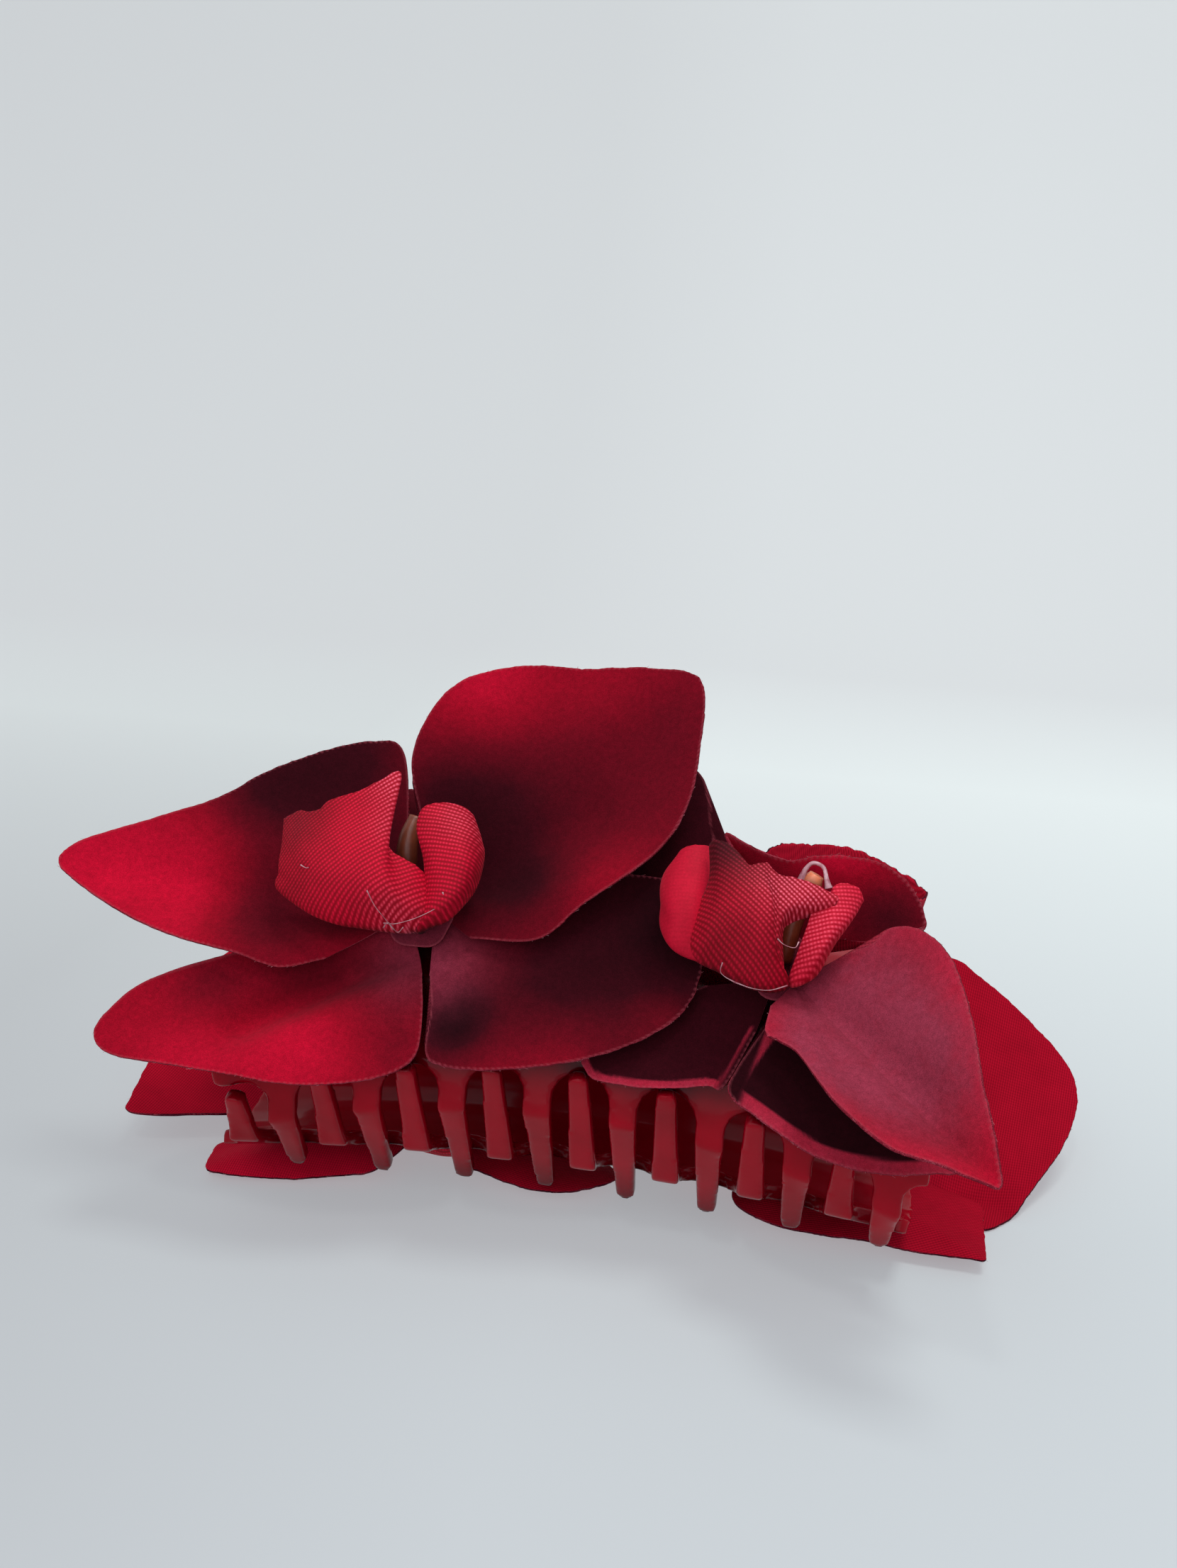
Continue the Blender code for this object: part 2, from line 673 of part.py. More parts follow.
# ---- assembly ---------------------------------------------------------------------------------
def corners_in_world():
    bpy.context.view_layer.update()
    graph = bpy.context.evaluated_depsgraph_get()
    points = []
    for obj in bpy.data.collections[COLLECTION].objects:
        if obj.type == "EMPTY":
            continue
        shown = obj.evaluated_get(graph)
        mesh = shown.to_mesh()
        points += [shown.matrix_world @ vertex.co for vertex in mesh.vertices]
        shown.to_mesh_clear()
    return points


def main():
    clear_scene()
    parts = new_collection(COLLECTION)
    cutters = new_collection("cutters")

    clip = bpy.data.objects.new("clip_frame", None)
    parts.objects.link(clip)
    clip.rotation_euler = (math.radians(TIP_ANGLE), 0.0, 0.0)
    clip.location = (0.0, 0.0, HINGE_HEIGHT * MM)
    upper = bpy.data.objects.new("upper_body", None)
    lower = bpy.data.objects.new("lower_body", None)
    lower_jaw_frame = bpy.data.objects.new("lower_jaw_frame", None)
    for empty, parent in ((upper, clip), (lower, clip), (lower_jaw_frame, lower)):
        parts.objects.link(empty)
        empty.parent = parent
    # The lower jaw is the same moulding turned half a turn about the forward axis.
    lower_jaw_frame.rotation_euler = (0.0, math.pi, 0.0)

    make_jaw("upper_jaw", upper, parts, cutters)
    make_jaw("lower_jaw", lower_jaw_frame, parts, cutters)
    make_pin(lower, parts)
    make_spring(lower, parts)
    make_upper_orchid("upper_left", UPPER_LEFT, upper, parts)
    make_upper_orchid("upper_right", UPPER_RIGHT, upper, parts)
    make_lower_orchid("lower_left", LOWER_LEFT, lower, parts)
    make_lower_orchid("lower_right", LOWER_RIGHT, lower, parts)

    # The middle of the footprint becomes the origin.
    points = corners_in_world()
    for axis in (0, 1):
        low = min(point[axis] for point in points)
        high = max(point[axis] for point in points)
        clip.location[axis] -= (low + high) / 2
    clip.location.z -= min(point.z for point in points)
    bpy.context.view_layer.update()
    print("hinge axis at", [round(value, 5) for value in clip.matrix_world.translation])


main()
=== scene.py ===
"""Looks of a claw hair clip with four silk orchids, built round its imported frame.

Lengths are millimetres and angles are degrees unless a comment says otherwise. Shapes are made in
three kinds of local frame and carried into the row frame by a matrix:
- the clip frame has its origin on the hinge axis, X along the clip, -Y towards the teeth and +Z
  on the upper jaw's side, and it is tipped TIP_ANGLE about X;
- an upper orchid's frame sits at its heart with +Z out of its face;
- a lower orchid's frame is level, with +Z towards the jaw it is glued to.
"""

import json
import math
import random

import bmesh
import bpy
import numpy as np
from mathutils import Matrix, Vector, noise


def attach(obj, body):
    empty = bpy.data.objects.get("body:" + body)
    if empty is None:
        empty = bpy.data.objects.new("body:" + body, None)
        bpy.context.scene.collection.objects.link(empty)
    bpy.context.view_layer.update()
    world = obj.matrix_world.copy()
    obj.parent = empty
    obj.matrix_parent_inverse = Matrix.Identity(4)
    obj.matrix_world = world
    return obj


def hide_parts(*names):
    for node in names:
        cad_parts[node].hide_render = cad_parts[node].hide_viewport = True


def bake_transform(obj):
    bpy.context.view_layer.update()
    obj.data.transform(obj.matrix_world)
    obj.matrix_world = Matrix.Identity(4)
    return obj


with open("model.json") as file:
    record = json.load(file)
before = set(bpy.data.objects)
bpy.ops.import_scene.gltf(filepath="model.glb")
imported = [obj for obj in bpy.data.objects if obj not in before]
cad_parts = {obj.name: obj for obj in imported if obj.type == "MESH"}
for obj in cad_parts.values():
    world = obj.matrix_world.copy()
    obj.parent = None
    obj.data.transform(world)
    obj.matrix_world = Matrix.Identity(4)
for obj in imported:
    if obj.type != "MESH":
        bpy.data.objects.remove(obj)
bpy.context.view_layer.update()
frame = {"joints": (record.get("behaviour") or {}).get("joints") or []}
HINGE = Vector(frame["joints"][0]["pos_m"])
UPPER, LOWER = "upper_body", "lower_body"

MM = 0.001
WELD_DISTANCE = 1e-7
CLOTH = 0.42                # thickness of the stamped cloth
TIP_ANGLE = 27.0
TO_CLIP = Matrix.Translation(HINGE) @ Matrix.Rotation(math.radians(TIP_ANGLE), 4, "X")
SCALE = Matrix.Scale(MM, 4)
draw = random.Random(11)


# ---- small maths --------------------------------------------------------------------------------
def circle(count):
    return np.linspace(0, 2 * math.pi, count, endpoint=False)


def smoothstep(t):
    t = np.clip(t, 0.0, 1.0)
    return t * t * (3.0 - 2.0 * t)


def polar(azimuth, distance):
    turn = np.radians(azimuth)
    return np.stack([distance * np.cos(turn), distance * np.sin(turn)], -1)


def spline(points, samples):
    """A smooth curve through the points, with this many samples in each span."""
    p = np.asarray(points, float)
    p = np.vstack([2 * p[0] - p[1], p, 2 * p[-1] - p[-2]])
    t = (np.arange(samples) / samples)[:, None]
    spans = []
    for a, b, c, d in zip(p, p[1:], p[2:], p[3:]):
        linear = (c - a) * t
        square = (2 * a - 5 * b + 4 * c - d) * t**2
        cube = (3 * b - a - 3 * c + d) * t**3
        spans.append(0.5 * (2 * b + linear + square + cube))
    return np.vstack([*spans, p[-2]])


def lengths(curve):
    """Distance along a polyline at each of its points."""
    steps = np.linalg.norm(np.diff(curve, axis=0), axis=1)
    return np.concatenate([[0.0], np.cumsum(steps)])


def at_length(curve, wanted):
    """Points of a polyline at these distances along it."""
    along = lengths(curve)
    return np.stack([np.interp(wanted, along, curve[:, k]) for k in range(curve.shape[1])], -1)


def evenly(curve, step):
    total = lengths(curve)[-1]
    return at_length(curve, np.linspace(0.0, total, max(int(total / step), 8)))


def wobble(points, scale, seed):
    """Smooth noise between -1 and 1 at each point, with features about `scale` across."""
    flat = points.reshape(-1, points.shape[-1])
    spots = np.zeros((len(flat), 3))
    spots[:, :flat.shape[1]] = flat
    spots = spots / scale + (0.0, 0.0, seed)
    return np.array([noise.noise(Vector(p)) for p in spots]).reshape(points.shape[:-1])


# ---- mesh helpers -------------------------------------------------------------------------------
def finish_object(name, mesh, body, slot, *nodes):
    """Link a mesh that is already in the row frame, tie it to its body and hide the CAD nodes it
    stands in for.
    """
    mesh.shade_smooth()
    piece = bpy.data.objects.new(name, mesh)
    bpy.context.scene.collection.objects.link(piece)
    if body:
        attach(piece, body)
    if nodes:
        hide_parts(*nodes)
    return piece


def sheets_mesh(name, sheets, place, materials, wrap=False):
    """One mesh from (points, uv, layers) sheets; points are rows x columns in a local frame."""
    spots, quads, start = [], [], 0
    for points, _, _ in sheets:
        rows, columns = points.shape[:2]
        index = start + np.arange(rows * columns).reshape(rows, columns)
        if wrap:
            index = np.hstack([index, index[:, :1]])
        corners = [index[:-1, :-1], index[1:, :-1], index[1:, 1:], index[:-1, 1:]]
        quads.append(np.stack(corners, -1).reshape(-1, 4))
        spots.append(points.reshape(-1, 3))
        start += rows * columns
    quads = np.vstack(quads)
    mesh = bpy.data.meshes.new(name)
    mesh.from_pydata(np.vstack(spots).tolist(), [], quads.tolist())
    if sheets[0][1] is not None:
        uv = np.vstack([sheet[1].reshape(-1, 2) for sheet in sheets])
        layer = mesh.uv_layers.new(name="UVMap")
        layer.data.foreach_set("uv", uv[quads.ravel()].astype(np.float32).ravel())
    for key in sheets[0][2]:
        values = np.concatenate([sheet[2][key].ravel() for sheet in sheets])
        attribute = mesh.attributes.new(key, "FLOAT", "POINT")
        attribute.data.foreach_set("value", values.astype(np.float32))
    for material in materials:
        mesh.materials.append(material)
    mesh.transform(place @ SCALE)
    return mesh


def grid_mesh(name, points, place, materials, uv=None, layers=None, wrap=False):
    return sheets_mesh(name, [(points, uv, layers or {})], place, materials, wrap)


def from_bmesh(name, bm, material):
    mesh = bpy.data.meshes.new(name)
    bm.to_mesh(mesh)
    bm.free()
    mesh.materials.append(material)
    return mesh


def take_part(bm, part):
    bm.from_mesh(part)
    bpy.data.meshes.remove(part)


def weld(mesh):
    """Join the points that meet at a closed end, and face every normal outwards."""
    bm = bmesh.new()
    bm.from_mesh(mesh)
    bmesh.ops.remove_doubles(bm, verts=bm.verts, dist=WELD_DISTANCE)
    bmesh.ops.recalc_face_normals(bm, faces=bm.faces)
    bm.to_mesh(mesh)
    bm.free()
    return mesh


def thicken(piece, thickness=CLOTH, offset=0.0, back=1, rim=2):
    """Give a sheet its thickness. back and rim are material slots counted from the front's."""
    thick = piece.modifiers.new("thickness", "SOLIDIFY")
    thick.thickness = thickness * MM
    thick.offset = offset
    thick.use_even_offset = False
    thick.material_offset = back
    thick.material_offset_rim = rim


def tube(path, radius, sides):
    """Rings of points round a path, closed to a point at both ends. radius may vary."""
    path = np.asarray(path, float)
    radii = np.broadcast_to(np.asarray(radius, float), len(path))
    ahead = np.gradient(path, axis=0)
    ahead /= np.linalg.norm(ahead, axis=1)[:, None] + 1e-12
    rings = []
    side = np.cross(ahead[0], (0.31, 0.82, 0.48))
    for spot, direction, r in zip(path, ahead, radii):
        side = side - direction * side.dot(direction)
        side /= np.linalg.norm(side)
        other = np.cross(direction, side)
        angles = circle(sides)[:, None]
        rings.append(spot + r * (np.cos(angles) * side + np.sin(angles) * other))
    start = np.repeat(path[:1], sides, 0)
    end = np.repeat(path[-1:], sides, 0)
    return np.stack([start, *rings, end])


def tubes_mesh(name, paths, place, material, sides):
    """One mesh of many tubes: (path, radius) pairs."""
    bm = bmesh.new()
    for path, radius in paths:
        take_part(bm, grid_mesh("part", tube(path, radius, sides), place, [], wrap=True))
    return weld(from_bmesh(name, bm, material))


def lathe_mesh(name, profile, place, material):
    """A turned part about X from (distance along X, radius) points."""
    angles = circle(48)
    points = [[(x, r * math.cos(a), r * math.sin(a)) for a in angles] for x, r in profile]
    return weld(grid_mesh(name, np.array(points), place, [material], wrap=True))


# ---- materials ----------------------------------------------------------------------------------
class Nodes:
    """Short names for the shader nodes the materials are wired from."""

    def __init__(self, name):
        self.material = bpy.data.materials.new(name)
        self.material.use_nodes = True
        self.tree = self.material.node_tree
        self.shader = self.tree.nodes["Principled BSDF"]

    def new(self, kind, settings=None, **inputs):
        node = self.tree.nodes.new(kind)
        for key, value in (settings or {}).items():
            setattr(node, key, value)
        for key, value in inputs.items():
            self.set(node, key.replace("_", " "), value)
        return node

    def set(self, node, key, value):
        socket = node.inputs[int(key)] if key.isdigit() else node.inputs[key]
        if hasattr(value, "is_output"):
            self.tree.links.new(value, socket)
        else:
            socket.default_value = value

    def shade(self, **inputs):
        """Set the shader's inputs by name, and hand over the finished material."""
        for key, value in inputs.items():
            self.set(self.shader, key.replace("_", " "), value)
        return self.material

    def maths(self, operation, a, b=0.0, clamp=False):
        node = self.new("ShaderNodeMath", {"operation": operation, "use_clamp": clamp})
        self.set(node, "0", a)
        self.set(node, "1", b)
        return node.outputs[0]

    def add(self, a, b):
        return self.maths("ADD", a, b)

    def times(self, a, b):
        return self.maths("MULTIPLY", a, b)

    def layer(self, name):
        return self.new("ShaderNodeAttribute", {"attribute_name": name}).outputs["Fac"]

    def noise(self, scale, detail):
        node = self.new("ShaderNodeTexNoise", Vector=self.place(), Scale=scale, Detail=detail,
                        Roughness=0.6)
        return node.outputs["Fac"]

    def place(self, kind="Object"):
        return self.new("ShaderNodeTexCoord").outputs[kind]

    def ramp(self, factor, *stops):
        node = self.new("ShaderNodeValToRGB", Fac=factor)
        elements = node.color_ramp.elements
        while len(elements) < len(stops):
            elements.new(0.5)
        for element, (position, colour) in zip(elements, stops):
            element.position = position
            element.color = (*colour, 1.0)
        return node.outputs["Color"]

    def mix(self, factor, a, b, blend="MIX"):
        node = self.new("ShaderNodeMix", {"data_type": "RGBA", "blend_type": blend})
        for socket, value in ((0, factor), (6, a), (7, b)):
            if hasattr(value, "is_output"):
                self.tree.links.new(value, node.inputs[socket])
            else:
                node.inputs[socket].default_value = value
        return node.outputs[2]

    def mottle(self, share, colour, pattern, dark, light):
        """The colour, made darker and lighter by a pattern."""
        steps = self.ramp(pattern, (0.3, (dark,) * 3), (0.7, (light,) * 3))
        return self.mix(share, colour, steps, "MULTIPLY")

    def bump(self, height, distance_mm, strength):
        node = self.new("ShaderNodeBump", Height=height, Strength=strength)
        node.inputs["Distance"].default_value = distance_mm * MM
        return node.outputs["Normal"]


def half_wave(nodes, vector, pitch_mm, angle):
    """A 0 to 1 wave across one direction of a UV map in millimetres."""
    turn = (0.0, 0.0, math.radians(angle))
    turned = nodes.new("ShaderNodeMapping", Vector=vector, Rotation=turn)
    split = nodes.new("ShaderNodeSeparateXYZ", Vector=turned.outputs[0])
    phase = nodes.times(split.outputs["X"], 2 * math.pi / pitch_mm)
    return nodes.add(nodes.times(nodes.maths("SINE", phase), 0.5), 0.5)


# Cloth colour from the darkest plum (0) to the brightest red (1), picked by the tone: mostly
# print, with painted shade and painted light in a few lobes.
TONE_COLOURS = (
    (0.0, (0.007, 0.0008, 0.0018)),
    (0.25, (0.035, 0.0018, 0.005)),
    (0.5, (0.115, 0.0020, 0.008)),
    (0.75, (0.28, 0.0022, 0.013)),
    (1.0, (0.53, 0.0035, 0.026)),
)
MAUVE = (0.27, 0.030, 0.058, 1.0)
PALE_EDGE = (0.36, 0.06, 0.085, 1.0)


def cloth_colour(nodes, mottle_scale=350.0, mottle=0.10):
    """The colour from the tone layer and the mauve dust marks, with a little cloudiness. The tone
    is mostly print; in a few lobes, marked where they are listed, it also carries painted shade
    and painted light.
    """
    cloud = nodes.noise(mottle_scale, 5.0)
    tone = nodes.add(nodes.layer("tone"), nodes.times(cloud, mottle))
    tone = nodes.maths("SUBTRACT", tone, mottle / 2, clamp=True)
    colour = nodes.ramp(tone, *TONE_COLOURS)
    dust_and_glint = nodes.maths("MULTIPLY", nodes.layer("dust_and_glint"), nodes.add(cloud, 0.5), clamp=True)
    return nodes.mix(dust_and_glint, colour, MAUVE)


def velvet():
    """Brushed face of a petal: matte, with a soft uneven nap and a worn, paler rim."""
    nodes = Nodes("petal_velvet")
    colour = cloth_colour(nodes)
    nap = nodes.noise(7000.0, 2.0)
    brushed = nodes.noise(1300.0, 4.0)
    colour = nodes.mottle(0.55, colour, nap, 0.5, 1.4)
    colour = nodes.mottle(0.5, colour, brushed, 0.7, 1.28)
    near_rim = nodes.maths("DIVIDE", nodes.layer("rim"), 0.45)
    worn = nodes.maths("SUBTRACT", 1.0, near_rim, clamp=True)
    frayed = nodes.times(worn, nodes.noise(2500.0, 2.0))
    colour = nodes.mix(frayed, colour, PALE_EDGE)
    return nodes.shade(
        Base_Color=colour,
        Roughness=0.95,
        Specular_IOR_Level=0.05,
        Sheen_Weight=0.09,
        Sheen_Roughness=0.4,
        Sheen_Tint=(0.95, 0.3, 0.4, 1.0),
        Normal=nodes.bump(nodes.add(nap, brushed), 0.06, 0.7),
    )


def satin():
    """Reverse of a petal: fine woven ribs with a soft glint along them."""
    nodes = Nodes("petal_satin")
    uv = nodes.place("UV")
    warp = half_wave(nodes, uv, 0.40, 35.0)
    weft = half_wave(nodes, uv, 0.47, 125.0)
    weave = nodes.add(nodes.times(warp, 0.7), nodes.times(weft, 0.3))
    colour = nodes.mix(1.0, cloth_colour(nodes, 200.0, 0.14),
                       nodes.ramp(weave, (0.0, (0.62,) * 3), (1.0, (1.22, 1.5, 1.2))), "MULTIPLY")
    return nodes.shade(
        Base_Color=colour,
        Roughness=0.75,
        Specular_IOR_Level=0.06,
        Specular_Tint=(1.0, 0.3, 0.35, 1.0),
        Normal=nodes.bump(weave, 0.06, 0.7),
    )


def cut_edge(name, dark, middle, pale):
    """Cut edge of the cloth, with loose fibres in patches."""
    nodes = Nodes(name)
    fibre = nodes.noise(6000.0, 3.0)
    patch = nodes.noise(180.0, 2.0)
    shown = nodes.times(fibre, nodes.add(patch, 0.5))
    colour = nodes.ramp(shown, (0.3, dark), (0.5, middle), (0.7, pale))
    return nodes.shade(Base_Color=colour, Roughness=0.95, Specular_IOR_Level=0.05,
                       Normal=nodes.bump(fibre, 0.08, 0.8))


def ribbed_lip():
    """Ribbed cloth of a lip: rows of bright threads over dark gaps, finer where ribs is low, with
    a painted glint on the thread tops in the dusty patches.
    """
    nodes = Nodes("lip_ribbed_cloth")
    bend = nodes.noise(300.0, 2.0)
    uv = nodes.mix(1.0, nodes.place("UV"), nodes.mix(0.25, (0, 0, 0, 1), bend), "ADD")
    rib = half_wave(nodes, uv, 0.58, 90.0)
    thread = half_wave(nodes, uv, 0.50, 0.0)
    dots = nodes.times(rib, nodes.add(nodes.times(thread, 0.6), 0.4))
    strength = nodes.layer("ribs")
    even = nodes.times(nodes.maths("SUBTRACT", 1.0, strength), 0.6)
    weave = nodes.add(nodes.times(dots, strength), even)
    grain = nodes.noise(3000.0, 2.0)
    weave = nodes.add(weave, nodes.times(nodes.maths("SUBTRACT", grain, 0.5), 0.5))
    cloud = nodes.noise(260.0, 4.0)
    tone = nodes.add(nodes.layer("tone"), nodes.times(cloud, 0.20))
    colour = nodes.ramp(nodes.maths("SUBTRACT", tone, 0.10, clamp=True), *TONE_COLOURS)
    threads = nodes.ramp(weave, (0.05, (0.62, 0.40, 0.42)), (0.5, (1.15,) * 3),
                         (0.95, (1.75, 2.2, 1.9)))
    colour = nodes.mix(0.9, colour, threads, "MULTIPLY")
    # Where the dust layer is high the brightest thread tops are mixed towards pale pink: partly
    # pale specks on the cloth, partly a painted highlight on the threads.
    lit = nodes.times(weave, nodes.times(weave, 1.5))
    dust_and_glint = nodes.maths("MULTIPLY", nodes.layer("dust_and_glint"), lit, clamp=True)
    colour = nodes.mix(dust_and_glint, colour, (0.78, 0.13, 0.19, 1.0))
    return nodes.shade(
        Base_Color=colour,
        Roughness=0.65,
        Specular_IOR_Level=0.12,
        Sheen_Weight=0.05,
        Sheen_Roughness=0.3,
        Sheen_Tint=(1.0, 0.4, 0.45, 1.0),
        Normal=nodes.bump(weave, 0.09, 0.8),
    )


def moulded_plastic():
    """Glossy crimson plastic with faint flow marks, a slightly uneven skin, and painted shade in
    its hollows.
    """
    nodes = Nodes("moulded_red_plastic")
    flow = nodes.noise(60.0, 3.0)
    colour = nodes.ramp(flow, (0.3, (0.22, 0.0006, 0.006)), (0.7, (0.32, 0.001, 0.010)))
    # Painted shade: the colour is darkened where ambient occlusion is low, in the hollows between
    # the teeth and inside the jaws.
    open_sky = nodes.new("ShaderNodeAmbientOcclusion", {"samples": 4}, Distance=16.0 * MM)
    painted_cavity_shade = nodes.ramp(open_sky.outputs["AO"], (0.25, (0.05, 0.03, 0.05)), (0.75, (1.0,) * 3))
    colour = nodes.mix(1.0, colour, painted_cavity_shade, "MULTIPLY")
    skin = nodes.noise(900.0, 4.0)
    smear = nodes.noise(160.0, 2.0)
    return nodes.shade(
        Base_Color=colour,
        Roughness=nodes.add(nodes.times(smear, 0.16), 0.08),
        Specular_IOR_Level=0.12,
        Specular_Tint=(1.0, 0.7, 0.75, 1.0),
        Subsurface_Weight=0.04,
        Subsurface_Radius=(1.0, 0.05, 0.08),
        Subsurface_Scale=1.2 * MM,
        Coat_Weight=0.06,
        Coat_Roughness=0.05,
        Normal=nodes.bump(skin, 0.025, 0.3),
    )


def column_plastic(name, core, tip):
    nodes = Nodes(name)
    grain = nodes.noise(900.0, 4.0)
    colour = nodes.mix(nodes.layer("tone"), core, tip)
    colour = nodes.mottle(0.4, colour, grain, 0.5, 1.3)
    return nodes.shade(Base_Color=colour, Roughness=0.38, Subsurface_Weight=0.2,
                       Subsurface_Scale=1.0 * MM, Normal=nodes.bump(grain, 0.12, 0.5))


def hot_glue():
    nodes = Nodes("hot_glue")
    cloud = nodes.noise(500.0, 3.0)
    colour = nodes.ramp(cloud, (0.3, (0.62, 0.55, 0.55)), (0.7, (0.86, 0.82, 0.82)))
    return nodes.shade(Base_Color=colour, Roughness=0.25, Transmission_Weight=0.35,
                       Subsurface_Weight=0.3, Subsurface_Scale=1.0 * MM,
                       Normal=nodes.bump(cloud, 0.15, 0.5))


def glue_thread():
    """Fine strings of glue, in mottled pinkish tints."""
    nodes = Nodes("glue_threads")
    cloud = nodes.noise(800.0, 2.0)
    colour = nodes.ramp(cloud, (0.3, (0.42, 0.10, 0.14)), (0.7, (0.74, 0.46, 0.50)))
    return nodes.shade(Base_Color=colour, Roughness=0.3, Transmission_Weight=0.3)


def fibre():
    nodes = Nodes("loose_fibre")
    tint = nodes.noise(300.0, 1.0)
    colour = nodes.ramp(tint, (0.35, (0.35, 0.02, 0.04)), (0.7, (0.62, 0.20, 0.24)))
    return nodes.shade(Base_Color=colour, Roughness=0.8, Sheen_Weight=0.3)


def spring_steel():
    nodes = Nodes("spring_steel")
    drawn = nodes.noise(1500.0, 2.0)
    colour = nodes.ramp(drawn, (0.3, (0.42, 0.42, 0.41)), (0.7, (0.6, 0.6, 0.58)))
    return nodes.shade(Base_Color=colour, Metallic=1.0, Roughness=0.28,
                       Normal=nodes.bump(drawn, 0.02, 0.3))


PLASTIC = moulded_plastic()
VELVET = velvet()
SATIN = satin()
EDGE = cut_edge("petal_cut_edge", (0.12, 0.004, 0.012), (0.22, 0.015, 0.030), (0.38, 0.06, 0.09))
DARK_EDGE = cut_edge("dark_cut_edge", (0.02, 0.001, 0.004), (0.05, 0.003, 0.01),
                     (0.20, 0.02, 0.035))
LIP_CLOTH = ribbed_lip()
BROWN_COLUMN = column_plastic("column_brown", (0.10, 0.016, 0.008, 1), (0.22, 0.05, 0.02, 1))
ORANGE_COLUMN = column_plastic("column_orange", (0.22, 0.03, 0.012, 1), (0.75, 0.22, 0.10, 1))
GLUE = hot_glue()
THREAD = glue_thread()
FIBRE = fibre()
STEEL = spring_steel()


# ---- jaws ---------------------------------------------------------------------------------------
HALF_LENGTH = 55.0
TOOTH_PITCH = 13.2
TEETH = 8
END_MARGIN = 5.5            # from the clip's left end to its first slot's middle
WALL = 2.3
KNEE_REACH = 45.0
KNEE_BOW = 6.0
KNEE_HEIGHT = 7.0
KNEE_DROP = 5.0
TOOTH_LENGTH = 22.4
TOOTH_SHORTENING = 0.5
TOOTH_LEAN = 3.0
TOOTH_HALF_WIDTH = 2.2
TIP_HALF_WIDTH = 1.5
ARCH_DEPTH = 7.0
HANDLE_HALF_WIDTH = 16.5
HANDLE_ROUNDING = 3.0
HANDLE_CLOSING = 6.0
TIP_ROUNDING = 1.3
STRIP_END = 0.45            # where a strip ends and a tooth starts, from the bend
END_COLUMNS = (0.0, 1.3, 2.7, 4.1)
SHELL_ROWS = 15
CORNER_SHIFT, CORNER_CUT = 1.2, 0.03
SKIN_CELL = 0.45
ROUNDING_PASSES = 9
SHELL_PROFILE = ((2.0, 6.2), (8.0, 14.0), (18.0, 19.4), (30.0, 18.6), (39.5, 12.6))
HANDLE_PROFILE = ((-2.5, 6.4), (-7.5, 9.6), (-22.5, 23.0))
HANDLE_WIDTHS = (1.0, 1.0, 0.95, 0.78, 0.6)    # at its start, at those points and at its end
ARCH_RADIUS = TOOTH_PITCH / 2 - TOOTH_HALF_WIDTH
KNUCKLE_RADIUS = 3.3
BORE_RADIUS = 1.4
KNUCKLES = ((-16.5, -13.0), (9.2, 12.7))
PIN_RADIUS = 1.1


def knee(x):
    q = (x / 50.0) ** 2
    return np.array((KNEE_REACH + KNEE_BOW * q, KNEE_HEIGHT - KNEE_DROP * q))


def tooth_length(x):
    return TOOTH_LENGTH * (1.0 - TOOTH_SHORTENING * (abs(x) / 48.5) ** 2.2)


def shell_curve(x):
    """Outer surface from the shell's rear edge to the bend, as (forward, up) points."""
    bend = knee(x)
    stretch = bend[0] / KNEE_REACH
    flatten = 1.0 - 0.14 * (x / HALF_LENGTH) ** 2
    points = [(f * stretch, u * flatten) for f, u in SHELL_PROFILE]
    return spline([*points, bend], 10)


def from_bend(x, distance):
    """The point of the shell this far behind the bend, in the clip frame."""
    curve = shell_curve(x)[::-1]
    forward, up = at_length(curve, [distance])[0]
    return Vector((x, -forward, up))


def shell_point(x, share):
    total = lengths(shell_curve(x))[-1]
    return from_bend(x, total - share * (total - ARCH_DEPTH))


def strip_places(centre, side):
    """(x, distance behind the bend) down one side of a strip, from the arch's apex."""
    places = []
    for angle in np.radians(np.linspace(0, 90, 9))[1:]:
        distance = ARCH_RADIUS * (1 - math.cos(angle))
        half = TOOTH_PITCH / 2 - ARCH_RADIUS * math.sin(angle)
        places.append((half, ARCH_DEPTH - distance))
    places += [(TOOTH_HALF_WIDTH, ARCH_DEPTH - ARCH_RADIUS - 1.3), (TOOTH_HALF_WIDTH, STRIP_END)]
    room = HALF_LENGTH - centre if side > 0 else TOOTH_PITCH
    return [(centre + side * min(half, room), behind) for half, behind in places]


def tooth_rows(centre, side):
    """Points down one side of a tooth, from just below the bend to its rounded tip."""
    lean = math.radians(TOOTH_LEAN)
    length = tooth_length(centre)
    straight = length - TIP_ROUNDING
    spots = [(STRIP_END, 1.0)]
    spots += [(share * straight, 1.0) for share in (0.15, 0.3, 0.45, 0.6, 0.75, 0.9)]
    for angle in np.radians((0, 20, 40, 60, 80)):
        spots.append((straight + TIP_ROUNDING * math.sin(angle), math.cos(angle) ** 0.6))
    rows = []
    for distance, rounding in spots:
        share = distance / length
        half = (TOOTH_HALF_WIDTH + (TIP_HALF_WIDTH - TOOTH_HALF_WIDTH) * share) * rounding
        own = 1.0 - float(smoothstep(distance / 5.0))
        bend = knee(centre + side * half * own)
        rows.append(Vector((
            centre + side * half,
            -(bend[0] - distance * math.sin(lean)),
            bend[1] - distance * math.cos(lean),
        )))
    return rows


